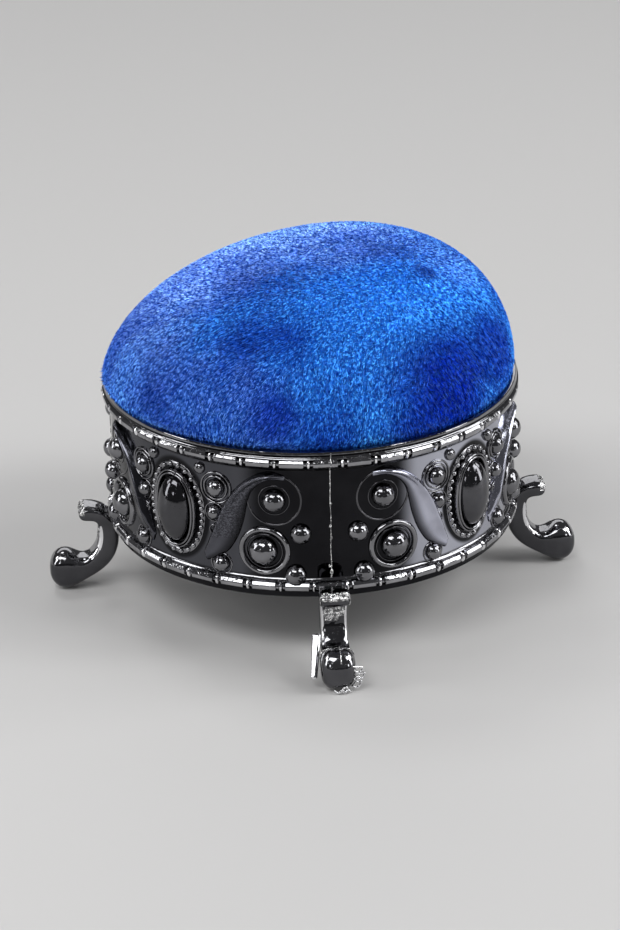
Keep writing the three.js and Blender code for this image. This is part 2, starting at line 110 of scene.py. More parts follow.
class PincushionCushionSizes(PropertyGroup):
    """Sizes of the velvet cushion."""

    edge_radius: length("Edge radius", "Velvet's greatest radius, just above the lip", 38.8)
    base_height: length("Base height", "Height at which the dome starts", 42.6)
    crown_height: length("Crown height", "Crown above the dome's start", 23.9)
    crown_lean: length("Crown lean", "Crown's shift towards the right", 1.05)
    edge_lean: length("Edge lean", "Edge's shift towards the left", 0.4)
    tilt: FloatProperty(name="Tilt", description="How much fuller the right side is", default=0.205, min=0.0)
    pile_length: length("Pile length", "Length of a tuft of pile", 1.0)
    pile_width: length("Pile width", "Width of a tuft at its root", 0.27)
    pile_per_mm2: FloatProperty(name="Pile density", description="Tufts on a square millimetre", default=13.0)


class PincushionFinish(PropertyGroup):
    """Colours of the finishes."""

    # The ground, relief, pearls, beads and foot colours are much darker than bright chrome: painted dark
    # reflections. The ground is painted nearly black and the rims, pearls and bars lighter, so that the plain
    # band stays dark and the relief shows highlights.
    ground: colour("Ground", "Plated ground between the ornaments", (0.016, 0.016, 0.018, 1.0))
    relief: colour("Relief", "Plated rims and raised lines", (0.22, 0.22, 0.232, 1.0))
    pearls: colour("Pearls", "Plated pearls", (0.2, 0.2, 0.212, 1.0))
    beads: colour("Beads", "Plated bars of the bead rows", (0.32, 0.32, 0.335, 1.0))
    # satin is the colour of the ground where a pale reflection is painted on it.
    satin: colour("Satin", "Paler ground between the leaves and the cabochons", (0.42, 0.43, 0.49, 1.0))
    # leaf is the colour at a leaf's crest on the right; a painted reflection fades it to the ground's colour
    # towards the low edge and the left.
    leaf: colour("Leaf", "Plated leaves, slightly satin", (0.5, 0.51, 0.6, 1.0))
    foot: colour("Foot", "Plated feet", (0.09, 0.09, 0.097, 1.0))
    skin: colour("Casting skin", "Rough plated skin where the moulds were filled", (0.8, 0.8, 0.82, 1.0))
    # The velvet's tones paint how its pile catches the light: bright and haze are painted light and sheen,
    # deep and dusk painted shade, dusk paler and greyer.
    velvet_deep: colour("Velvet, deep", "Pile that leans away", (0.0003, 0.011, 0.4, 1.0))
    velvet_bright: colour("Velvet, bright", "Pile that faces up", (0.023, 0.275, 0.93, 1.0))
    velvet_haze: colour("Velvet, haze", "Pile brushed over to its pale side", (0.098, 0.32, 0.88, 1.0))
    velvet_dusk: colour("Velvet, dusk", "Pile that lies down at the left", (0.021, 0.092, 0.53, 1.0))
    felt: colour("Felt", "Underside felt", (0.012, 0.014, 0.022, 1.0))
    fibre: colour("Fibre", "Stuffing", (0.80, 0.77, 0.70, 1.0))
    card: colour("Card", "Backing board", (0.38, 0.28, 0.16, 1.0))
    thread: colour("Thread", "Cotton thread round the gathers", (0.02, 0.05, 0.2, 1.0))
    glue: colour("Glue", "Dried glue", (0.62, 0.55, 0.36, 1.0))
    floor: colour("Floor", "Pale floor", (0.6, 0.595, 0.59, 1.0))


def sizes():
    """The ring's sizes, as the panel has them."""
    return bpy.context.scene.pincushion_ring


def cushion_sizes():
    """The cushion's sizes, as the panel has them."""
    return bpy.context.scene.pincushion_cushion


def finishes():
    """The colours, as the panel has them."""
    return bpy.context.scene.pincushion_finish


# Selecting, placing and joining


def select_only(*pieces):
    """Leaves these pieces selected and the first of them active."""
    bpy.ops.object.select_all(action="DESELECT")
    for piece in pieces:
        piece.select_set(True)
    bpy.context.view_layer.objects.active = pieces[0]


def apply_place(*pieces):
    """Puts the pieces' places, turns and scales into their meshes."""
    select_only(*pieces)
    bpy.ops.object.transform_apply(location=True, rotation=True, scale=True)


def join(pieces):
    """Applies the pieces' places and makes them one object."""
    apply_place(*pieces)
    if len(pieces) > 1:
        bpy.ops.object.join()
    return bpy.context.object


def copy_of(piece):
    """A copy with its own mesh."""
    select_only(piece)
    bpy.ops.object.duplicate()
    return bpy.context.object


def apply_modifier(piece, kind, **settings):
    """Adds a modifier, sets it up and applies it."""
    select_only(piece)
    bpy.ops.object.modifier_add(type=kind)
    modifier = piece.modifiers[-1]
    for name, value in settings.items():
        setattr(modifier, name, value)
    bpy.ops.object.modifier_apply(modifier=modifier.name)


def pick_edges(piece, wanted):
    """In edit mode, selects the edges whose two ends pass the test."""
    mesh = bmesh.from_edit_mesh(piece.data)
    bpy.ops.mesh.select_all(action="DESELECT")
    for edge in mesh.edges:
        edge.select = wanted(*(end.co for end in edge.verts))
    mesh.select_flush_mode()
    bmesh.update_edit_mesh(piece.data)


def close_up(piece):
    """Merges doubles and turns every face outwards."""
    select_only(piece)
    bpy.ops.object.mode_set(mode="EDIT")
    bpy.ops.mesh.select_all(action="SELECT")
    bpy.ops.mesh.remove_doubles(threshold=WELD)
    bpy.ops.mesh.normals_make_consistent(inside=False)
    bpy.ops.object.mode_set(mode="OBJECT")


def number_by_place(piece):
    """Numbers corners and faces by their places, because Blender's tools number them anew on each run."""
    places = [tuple(corner.co) for corner in piece.data.vertices]
    in_order = sorted(places)
    number = {place: index for index, place in enumerate(in_order)}
    faces = []
    for face in piece.data.polygons:
        corners = [number[places[corner]] for corner in face.vertices]
        first = corners.index(min(corners))
        faces.append(corners[first:] + corners[:first])
    mesh = bpy.data.meshes.new(piece.name)
    mesh.from_pydata(in_order, [], sorted(faces))
    piece.data = mesh


def finish_piece(piece, name, materials, smooth_below=50.0):
    """Names a piece, shades and paints it by its faces' material indices, and sets it on the body."""
    piece.name = name
    piece.data.name = name
    apply_place(piece)
    bpy.ops.object.shade_smooth_by_angle(angle=math.radians(smooth_below))
    painted = [face.material_index for face in piece.data.polygons]
    piece.data.materials.clear()
    for material in materials:
        piece.data.materials.append(material)
    piece.data.polygons.foreach_set("material_index", painted if len(materials) > 1 else [0] * len(painted))
    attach(piece, BODY)


def around(piece, angles):
    """Joins copies of a piece turned round the vertical axis to each of the angles."""
    apply_place(piece)
    copies = []
    for angle in angles:
        copy = copy_of(piece)
        copy.rotation_euler.z = math.radians(angle)
        copies.append(copy)
    bpy.data.objects.remove(piece)
    return join(copies)


def turned(profile, sides, closed):
    """Turns radius and height pairs round the vertical axis. An open profile is capped at its ends."""
    radius, height = profile[0]
    fill = "NOTHING" if closed else "NGON"
    bpy.ops.mesh.primitive_circle_add(vertices=sides, radius=radius, fill_type=fill, location=(0, 0, 0))
    piece = bpy.context.object
    bpy.ops.object.mode_set(mode="EDIT")
    bpy.ops.transform.translate(value=(0, 0, height))
    steps = profile[1:] + profile[:1] if closed else profile[1:]
    for next_radius, next_height in steps:
        bpy.ops.mesh.extrude_region_move()
        bpy.ops.transform.translate(value=(0, 0, next_height - height))
        share = next_radius / radius
        bpy.ops.transform.resize(value=(share, share, 1), center_override=(0, 0, 0))
        radius, height = next_radius, next_height
    bpy.ops.object.mode_set(mode="OBJECT")
    close_up(piece)
    number_by_place(piece)
    return piece


def extruded_through(sections):
    """Extrudes one ring of corners through a list of sections with equal numbers of points."""
    corners = len(sections[0])
    bpy.ops.mesh.primitive_circle_add(vertices=corners, fill_type="NGON", location=(0, 0, 0))
    piece = bpy.context.object
    bpy.ops.object.mode_set(mode="EDIT")
    for index, section in enumerate(sections):
        if index:
            bpy.ops.mesh.extrude_region_move()
        mesh = bmesh.from_edit_mesh(piece.data)
        mesh.verts.ensure_lookup_table()
        moving = sorted((corner for corner in mesh.verts if corner.select), key=lambda corner: corner.index)
        for corner, place in zip(moving, section):
            corner.co = place
        bmesh.update_edit_mesh(piece.data)
    bpy.ops.object.mode_set(mode="OBJECT")
    close_up(piece)
    number_by_place(piece)
    return piece


# The flat panel of ornament, and how it goes onto the band


def panel_place(angle, height):
    """A place on the flat panel, from the angle that it has once it is bent round the band."""
    return Vector((math.radians(angle) * sizes().band_radius, 0.0, height))


def bend_onto_band(piece):
    """Bends a flat panel in front of the origin onto the band's face."""
    apply_place(piece)
    along = [corner.co.x for corner in piece.data.vertices]
    bend = (max(along) - min(along)) / sizes().band_radius
    apply_modifier(piece, "SIMPLE_DEFORM", deform_method="BEND", deform_axis="Z", angle=bend)
    piece.location.y = -sizes().band_radius
    apply_place(piece)
    return piece


def mirrored_pair(piece):
    """Joins a piece to its mirror image on the other side of the seam."""
    twin = copy_of(piece)
    twin.scale.x = -1.0
    apply_place(twin)
    close_up(twin)
    return join([piece, twin])


def eight_fold(flat_pieces):
    """Bends one half quarter of ornament onto the band, mirrors it, and repeats it at each foot."""
    bent = bend_onto_band(join(flat_pieces))
    return around(mirrored_pair(bent), FEET.values())


def pearl(angle, height, radius, out):
    """A glossy half-sunk ball."""
    bpy.ops.mesh.primitive_uv_sphere_add(
        segments=20,
        ring_count=10,
        radius=radius,
        location=panel_place(angle, height),
        rotation=(math.radians(90), 0, 0),
    )
    ball = bpy.context.object
    number_by_place(ball)
    ball.scale.z = out / radius
    return ball


def round_line(angle, height, radius, width, out):
    """A raised circular line."""
    bpy.ops.mesh.primitive_torus_add(
        major_radius=radius,
        minor_radius=width / 2,
        major_segments=48,
        minor_segments=10,
        location=panel_place(angle, height),
        rotation=(math.radians(90), 0, 0),
    )
    line = bpy.context.object
    line.scale.z = 2 * out / width
    return line


def oval_line(height, half_width, half_height, width, out):
    """A raised oval line round the cabochon, on a panel whose middle is the cabochon's."""
    bpy.ops.curve.primitive_bezier_circle_add(radius=1.0, location=(0, 0, 0))
    line = bpy.context.object
    bpy.ops.object.mode_set(mode="EDIT")
    bpy.ops.curve.select_all(action="SELECT")
    bpy.ops.transform.resize(value=(half_width, half_height, 1.0), center_override=(0, 0, 0))
    bpy.ops.object.mode_set(mode="OBJECT")
    line.data.resolution_u = 18
    line.data.bevel_depth = width / 2
    line.data.bevel_resolution = 3
    bpy.ops.object.convert(target="MESH")
    line = bpy.context.object
    line.rotation_euler.x = math.radians(90)
    line.location = panel_place(0.0, height)
    line.scale.z = 2 * out / width
    apply_place(line)
    close_up(line)
    return line


def smooth_through(points, share):
    """A point on a smooth curve through the points, at a share of the way from the first to the last."""
    spans = len(points) - 1
    place = min(share * spans, spans - 1e-6)
    span = int(place)
    t = place - span
    before = points[max(span - 1, 0)]
    start = points[span]
    end = points[span + 1]
    after = points[min(span + 2, spans)]
    pull_start = (end - before) * 0.5
    pull_end = (after - start) * 0.5
    return (
        start * (2 * t**3 - 3 * t**2 + 1)
        + pull_start * (t**3 - 2 * t**2 + t)
        + end * (3 * t**2 - 2 * t**3)
        + pull_end * (t**3 - t**2)
    )


FLASH_STEPS = 6  # points of a flash line for each stretch between its places


def flash_line(places, thickness):
    """A thin ridge of metal on a smooth line through the places."""
    count = FLASH_STEPS * (len(places) - 1) + 1
    bpy.ops.curve.primitive_nurbs_path_add(location=(0, 0, 0))
    line = bpy.context.object
    spline = line.data.splines[0]
    spline.type = "POLY"
    spline.points.add(count - len(spline.points))
    for index, point in enumerate(spline.points):
        point.co = (*smooth_through(places, index / (count - 1)), 1.0)
    line.data.bevel_depth = thickness / 2
    line.data.bevel_resolution = 2
    line.data.use_fill_caps = True
    bpy.ops.object.convert(target="MESH")
    return bpy.context.object


# Materials


def new_material(name):
    """A fresh node material, its node tree and its shader."""
    material = bpy.data.materials.new(name)
    material.use_nodes = True
    tree = material.node_tree
    return material, tree, tree.nodes["Principled BSDF"]


def set_sockets(node, values):
    """Sets a node's inputs by their names."""
    for name, value in values.items():
        node.inputs[name].default_value = value


def object_noise(tree, scale, detail=2.0, roughness=0.55):
    """Noise on object coordinates. Returns its output, from 0 to 1."""
    place = tree.nodes.new("ShaderNodeTexCoord")
    cloud = tree.nodes.new("ShaderNodeTexNoise")
    set_sockets(cloud, {"Scale": scale, "Detail": detail, "Roughness": roughness})
    tree.links.new(place.outputs["Object"], cloud.inputs["Vector"])
    return cloud.outputs["Fac"]


def blend_colours(tree, share, first, second):
    """A colour between two, each a colour or another node's output. Returns the output socket."""
    mix = tree.nodes.new("ShaderNodeMix")
    mix.data_type = "RGBA"
    tree.links.new(share, mix.inputs[0])
    for socket, value in ((mix.inputs[6], first), (mix.inputs[7], second)):
        if isinstance(value, bpy.types.NodeSocket):
            tree.links.new(value, socket)
        else:
            socket.default_value = value
    return mix.outputs[2]


def remap(tree, value, low, high, to_low=0.0, to_high=1.0):
    """Maps a value's range to another, smoothly and clamped."""
    node = tree.nodes.new("ShaderNodeMapRange")
    node.interpolation_type = "SMOOTHSTEP"
    set_sockets(node, {"From Min": low, "From Max": high, "To Min": to_low, "To Max": to_high})
    tree.links.new(value, node.inputs["Value"])
    return node.outputs["Result"]


def worked_out(tree, operation, *values):
    """The result of one sum on numbers and other nodes' outputs."""
    node = tree.nodes.new("ShaderNodeMath")
    node.operation = operation
    for socket, value in zip(node.inputs, values):
        if isinstance(value, bpy.types.NodeSocket):
            tree.links.new(value, socket)
        else:
            socket.default_value = value
    return node.outputs["Value"]


def bump(tree, shader, height, strength, distance, under=None):
    """Adds a bump to the shader, on top of another one if given. Returns its output."""
    node = tree.nodes.new("ShaderNodeBump")
    set_sockets(node, {"Strength": strength, "Distance": distance})
    tree.links.new(height, node.inputs["Height"])
    if under is not None:
        tree.links.new(under, node.inputs["Normal"])
    tree.links.new(node.outputs["Normal"], shader.inputs["Normal"])
    return node.outputs["Normal"]


def tinted(value, factor):
    """A colour made lighter or darker."""
    return (min(value[0] * factor, 1.0), min(value[1] * factor, 1.0), min(value[2] * factor, 1.0), 1.0)


def ring_place(tree):
    """Outputs on the ring: angle from the nearest foot in radians, distance to the right, and height."""
    place = tree.nodes.new("ShaderNodeTexCoord")
    apart = tree.nodes.new("ShaderNodeSeparateXYZ")
    tree.links.new(place.outputs["Object"], apart.inputs[0])
    forwards = worked_out(tree, "MULTIPLY", apart.outputs["Y"], -1.0)
    angle = worked_out(tree, "ARCTAN2", apart.outputs["X"], forwards)
    from_foot = worked_out(tree, "PINGPONG", angle, math.radians(QUARTER / 2))
    return from_foot, apart.outputs["X"], apart.outputs["Z"]


# The ground between the leaves and the cabochons is painted paler, most on the right: a painted reflection.
PALE_FROM, PALE_FULL = math.radians(19.0), math.radians(26.0)  # angles from a foot
PALE_LOW, PALE_HIGH = 17.5 * MM, 38.5 * MM  # heights between which the ground is painted pale
PALE_EDGE = 0.3 * MM  # half of the height over which it fades
DARK_HALF_WIDTH, DARK_HALF_HEIGHT = 7.4 * MM, 10.0 * MM  # oval round a cabochon that stays dark
LEFT_END, RIGHT_END = -20 * MM, 22 * MM  # across the ring, where the painted paleness and the leaves' painted reflection are least and where they are full


def painted_pale_ground(tree):
    """How pale the ground is painted: a painted reflection between the leaves and the cabochons, most on the
    right.
    """
    from_foot, rightwards, height = ring_place(tree)
    beyond_bosses = remap(tree, from_foot, PALE_FROM, PALE_FULL)
    from_middle = worked_out(tree, "SUBTRACT", math.radians(QUARTER / 2), from_foot)
    across = worked_out(tree, "MULTIPLY", from_middle, sizes().band_radius / DARK_HALF_WIDTH)
    to_middle = -CABOCHON_HEIGHT / DARK_HALF_HEIGHT
    along = worked_out(tree, "MULTIPLY_ADD", height, 1 / DARK_HALF_HEIGHT, to_middle)
    square = worked_out(tree, "MULTIPLY_ADD", along, along, worked_out(tree, "MULTIPLY", across, across))
    round_cabochon = remap(tree, square, low=0.92, high=1.1)
    right_share = remap(tree, rightwards, LEFT_END, RIGHT_END, to_low=0.14)
    above_step = remap(tree, height, PALE_LOW - PALE_EDGE, PALE_LOW + PALE_EDGE)
    below_step = remap(tree, height, PALE_HIGH + PALE_EDGE, PALE_HIGH - PALE_EDGE)
    pale = worked_out(tree, "MULTIPLY", beyond_bosses, round_cabochon)
    for share in (above_step, below_step, right_share):
        pale = worked_out(tree, "MULTIPLY", pale, share)
    return pale


def painted_leaf_reflection(tree):
    """How bright a leaf is painted: a painted reflection, bright at its crest and fading to its low edge,
    most on the right.
    """
    rightwards = ring_place(tree)[1]
    across = tree.nodes.new("ShaderNodeAttribute")
    across.attribute_name = "across_leaf"
    crest_share = remap(tree, across.outputs["Fac"], low=0.35, high=1.0, to_low=1.0, to_high=0.05)
    right_share = remap(tree, rightwards, LEFT_END, RIGHT_END, to_low=0.16)
    return worked_out(tree, "MULTIPLY", crest_share, right_share)


# scale, strength and depth in metres of the casting's ripples under the plating
RIPPLES = {"pearls": (700.0, 0.55, 0.00022), "beads": (900.0, 0.5, 0.00014)}
SOFT_RIPPLES = (420.0, 0.4, 0.00014)
BRIGHT_ROUGHNESS, DULL_ROUGHNESS = 0.04, 0.1
LEAF_ROUGHNESS = 0.12  # added on the leaves


def plating(part):
    """Bright plating over a casting: soft ripples, tiny pits and patches of slightly duller plating."""
    name = part + "_plating"
    found = bpy.data.materials.get(name)
    if found:
        return found
    material, tree, shader = new_material(name)
    base = getattr(finishes(), part)
    satin = LEAF_ROUGHNESS if part == "leaf" else 0.0
    patches = object_noise(tree, scale=130.0, detail=4.0)
    shade = remap(tree, patches, low=0.35, high=0.7)
    tone = blend_colours(tree, shade, tinted(base, 0.82), tinted(base, 1.15))
    # The ground takes the satin colour where it is painted pale: a painted reflection, strongest on the
    # right.
    if part == "ground":
        tone = blend_colours(tree, painted_pale_ground(tree), tone, tuple(finishes().satin))
    # A leaf fades from its own colour at the crest to the ground's at its low edge and on the left: a painted
    # reflection.
    if part == "leaf":
        tone = blend_colours(tree, painted_leaf_reflection(tree), tuple(finishes().ground), tone)
    tree.links.new(tone, shader.inputs["Base Color"])
    shader.inputs["Metallic"].default_value = 1.0
    gloss = remap(tree, patches, 0.4, 0.75, BRIGHT_ROUGHNESS + satin, DULL_ROUGHNESS + satin)
    tree.links.new(gloss, shader.inputs["Roughness"])
    ripple_scale, strength, depth = RIPPLES.get(part, SOFT_RIPPLES)
    under = bump(tree, shader, object_noise(tree, ripple_scale), strength, depth)
    pits = remap(tree, object_noise(tree, scale=2600.0, roughness=0.7), low=0.62, high=0.75)
    bump(tree, shader, pits, strength=0.35, distance=0.04 * MM, under=under)
    return material


# scale of the rough skin's grains, and how much darker and lighter they are
GRAINS = {"skin": (1500.0, 0.25, 1.4), "leaf": (3200.0, 0.5, 1.5)}


def rough_casting(part="skin", strength=1.0):
    """The same plating over rough casting skin, which glitters."""
    name = part + "_rough_casting"
    found = bpy.data.materials.get(name)
    if found:
        return found
    material, tree, shader = new_material(name)
    base = getattr(finishes(), part)
    scale, darker, lighter = GRAINS[part]
    grains = object_noise(tree, scale, detail=3.0, roughness=0.6)
    shade = remap(tree, grains, low=0.42, high=0.6)
    tone = blend_colours(tree, shade, tinted(base, darker), tinted(base, lighter))
    # As on the smooth leaves, the painted reflection fades the rough leaf to the ground's colour away from
    # its crest and on the left.
    if part == "leaf":
        tone = blend_colours(tree, painted_leaf_reflection(tree), tuple(finishes().ground), tone)
    tree.links.new(tone, shader.inputs["Base Color"])
    set_sockets(shader, {"Metallic": 1.0, "Roughness": 0.2})
    bump(tree, shader, grains, strength, distance=0.5 * MM)
    return material


# middle and reach in millimetres of each patch of painted sheen, light and shade on the nap, its tone, and
# how much of the tone it takes
PAINTED_NAP_SHEEN = (
    ((-21, 6, 60), 19, "haze", 0.95),
    ((-33, -8, 51), 16, "haze", 0.3),
    ((-35, -9, 50), 15, "dusk", 0.4),
    ((-4, 10, 66), 17, "haze", 0.6),
    ((8, 3, 67), 15, "haze", 0.6),
    ((-11, -9, 64), 9, "deep", 0.35),
    ((-27, -25, 47), 14, "dusk", 0.75),
    ((-15, -33, 47), 12, "dusk", 0.75),
    ((-5, -26, 60), 4.5, "deep", 0.6),
    ((1, -19, 64), 8, "bright", 0.55),
    ((15, -20, 63), 12, "bright", 1.0),
    ((26, -11, 62), 12, "bright", 1.0),
    ((24, -4, 62), 9, "haze", 0.35),
    ((6, -30, 58), 9, "bright", 0.5),
    ((3, -36, 51), 7, "middle", 0.6),
    ((11, -37, 45), 6, "bright", 0.4),
    ((21, -11, 65), 2.6, "deep", 0.7),
    ((-9, -36, 49), 5, "deep", 0.7),
    ((0, -38, 45), 6, "deep", 0.5),
    ((24, -29, 50), 12, "deep", 1.0),
    ((16, -34, 45), 7, "deep", 0.8),
    ((33, -17, 52), 9, "deep", 0.85),
)


NAP_BEGINS, NAP_FULL = 1.75, 0.75  # distances from a patch's middle, as shares of its reach
NAP_WANDER = 0.9  # how far its edge wanders, as a share of its reach


def painted_sheen_share(tree, place, reach):
    """How much of a patch's painted sheen and shade the nap round a place takes, with a ragged edge. Returns
    an output.
    """
    coordinates = tree.nodes.new("ShaderNodeTexCoord")
    ragged = object_noise(tree, scale=160.0, detail=4.0, roughness=0.65)
    away = tree.nodes.new("ShaderNodeVectorMath")
    away.operation = "DISTANCE"
    away.inputs[1].default_value = [value * MM for value in place]
    tree.links.new(coordinates.outputs["Object"], away.inputs[0])
    wander = worked_out(tree, "MULTIPLY_ADD", ragged, reach * MM * NAP_WANDER, away.outputs["Value"])
    return remap(tree, wander, reach * MM * NAP_BEGINS, reach * MM * NAP_FULL)


# how the velvet's colour is multiplied at the darkest and the lightest of its clumps, tufts and tuft ends;
# the light ends, paler than the blue, are painted sparkle, and the tuft ends are painted shade at the roots
# and a painted highlight at the tips
PILE_SHADES = {
    "clump": ((0.2, 0.3, 0.6, 1.0), (2.9, 2.1, 1.5, 1.0)),
    "tuft_shade": ((0.25, 0.35, 0.65, 1.0), (2.6, 2.0, 1.5, 1.0)),
    "tuft_tip": ((0.25, 0.35, 0.58, 1.0), (2.4, 1.85, 1.45, 1.0)),
}


VELVET_SHEEN = {
    "Roughness": 0.4,
    "Specular IOR Level": 0.5,
    "Specular Tint": (0.1, 0.5, 1.0, 1.0),
    "Sheen Weight": 0.8,
    "Sheen Roughness": 0.4,
    "Sheen Tint": (0.08, 0.36, 1.0, 1.0),
}


def velvet(name, pile):
    """Short pile velvet. Its pale, bright and deep patches are painted sheen, light and shade, laid where the
    pile catches or loses the light.
    """
    found = bpy.data.materials.get(name)
    if found:
        return found
    material, tree, shader = new_material(name)
    paint = finishes()
    middle = tuple((low + high) / 2 for low, high in zip(paint.velvet_deep, paint.velvet_bright))
    naps = {
        "deep": tuple(paint.velvet_deep),
        "middle": middle,
        "bright": tuple(paint.velvet_bright),
        "haze": tuple(paint.velvet_haze),
        "dusk": tuple(paint.velvet_dusk),
    }
    nap = object_noise(tree, scale=60.0, detail=4.0, roughness=0.6)
    deep_to_bright = remap(tree, nap, low=0.3, high=0.7, to_low=0.2, to_high=0.75)
    colour_now = blend_colours(tree, deep_to_bright, naps["deep"], naps["bright"])
    for place, reach, tone, cover in PAINTED_NAP_SHEEN:
        share = worked_out(tree, "MULTIPLY", painted_sheen_share(tree, place, reach), cover)
        colour_now = blend_colours(tree, share, colour_now, naps[tone])
    if pile:
        clumps = object_noise(tree, scale=1700.0, roughness=0.6)
        shares = {"clump": remap(tree, clumps, low=0.4, high=0.6)}
        for attribute in ("tuft_shade", "tuft_tip"):
            given = tree.nodes.new("ShaderNodeAttribute")
            given.attribute_name = attribute
            shares[attribute] = given.outputs["Fac"]
        for share_name, (dark, light) in PILE_SHADES.items():
            shades = blend_colours(tree, shares[share_name], dark, light)
            stain = tree.nodes.new("ShaderNodeMix")
            stain.data_type = "RGBA"
            stain.blend_type = "MULTIPLY"
            stain.inputs[0].default_value = 1.0
            tree.links.new(colour_now, stain.inputs[6])
            tree.links.new(shades, stain.inputs[7])
            colour_now = stain.outputs[2]
    tree.links.new(colour_now, shader.inputs["Base Color"])
    set_sockets(shader, VELVET_SHEEN)
    if not pile:
        bump(tree, shader, object_noise(tree, scale=1500.0), strength=0.6, distance=0.3 * MM)
    return material


def fibrous(name, base, grain_scale, contrast, roughness=0.95):
    """Felt, card, thread, glue or stuffing: two shades of one colour in a fine grain."""
    material, tree, shader = new_material(name)
    grain = object_noise(tree, grain_scale, detail=5.0, roughness=0.7)
    share = remap(tree, grain, low=0.3, high=0.7)
    shades = (tinted(base, 1.0 - contrast), tinted(base, 1.0 + contrast))
    tree.links.new(blend_colours(tree, share, *shades), shader.inputs["Base Color"])
    shader.inputs["Roughness"].default_value = roughness
    bump(tree, shader, grain, strength=0.5, distance=0.2 * MM)
    return material


# Operators, one for each piece or group of like pieces


class PINCUSHION_OT_ring_wall(Operator):
    """Turns the ring's wall with its lip, steps and inner ledge"""

    bl_idname = "pincushion.ring_wall"
    bl_label = "Ring Wall"

    SOFTNESS = 0.15  # of the wall's edges
    FILLET = 0.3  # between a bead row and the plain band
    # the inner ledge: its underside above the ring's lower edge, its thickness and its reach inwards
    LEDGE = (1.7, 1.5, 2.7)

    def execute(self, context):
        ring = sizes()
        low, high = RING_LOW.z, RING_HIGH.z
        band = ring.band_radius
        step = band + ring.step_reach
        lip = band + ring.lip_reach
        inner = ring.inner_radius
        half = ring.bead_height / 2
        soft = self.SOFTNESS * MM
        fillet = self.FILLET * MM
        lower_fillet = ring.lower_beads + half + fillet
        upper_fillet = ring.upper_beads - half - fillet
        line = band + ring.line_reach
        line_low = ring.upper_beads + half
        line_high = line_low + 2.6 * soft
        ledge_lift, ledge_thickness, ledge_reach = (value * MM for value in self.LEDGE)
        ledge_low = low + ledge_lift
        ledge_high = ledge_low + ledge_thickness
        ledge_inner = inner - ledge_reach
        outside = [
            (inner + soft, low),
            (step - soft, low),
            (step, low + soft),
            (step, ring.lower_beads - half),
            (band, ring.lower_beads - half + soft),
            (band, ring.lower_beads + half - soft),
            (step - soft, ring.lower_beads + half),
            (step, lower_fillet - soft),
            (step - soft, lower_fillet + soft),
            (band, lower_fillet + 2 * soft),
            (band, upper_fillet - 2 * soft),
            (step - soft, upper_fillet - soft),
            (step, upper_fillet + soft),
            (step - soft, ring.upper_beads - half),
            (band, ring.upper_beads - half + soft),
            (band, line_low - soft),
            (line - 2 * soft, line_low),
            (line - 0.5 * soft, line_low + 0.4 * soft),
            (line, line_low + 1.2 * soft),
            (line - 0.6 * soft, line_high - 0.5 * soft),
            (line - 1.6 * soft, line_high),
            (lip, line_high + soft),
            (lip, high - 4 * soft),
            (lip - soft, high - soft),
            (lip - 3 * soft, high),
        ]
        inside = [
            (inner + ring.mouth_flare + soft, high - soft),
            (inner + ring.mouth_flare, high - 3 * soft),
            (inner, high - ring.mouth_depth),
            (inner, ledge_high),
            (ledge_inner, ledge_high),
            (ledge_inner, ledge_low),
            (inner, ledge_low),
            (inner, low + soft),
        ]
        wall = turned(outside + inside, ring.sides, closed=True)
        # The raised line, the step round the lower bead row and the rim's upward faces take the brighter
        # relief plating: painted highlights against the near-black ground.
        for face in wall.data.polygons:
            height = face.center.z
            outside_mouth = face.center.xy.length > inner + ring.mouth_flare
            on_line = line_low < height < line_high + soft and outside_mouth
            on_step = ring.lower_beads - half < height < lower_fillet + 3 * soft
            on_rim = height > line_high and face.normal.z > 0.2
            face.material_index = 1 if on_line or on_step or on_rim else 0
        finish_piece(wall, "ring_wall", [plating("ground"), plating("relief")], 40.0)
        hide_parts("base_ring")
        return {"FINISHED"}


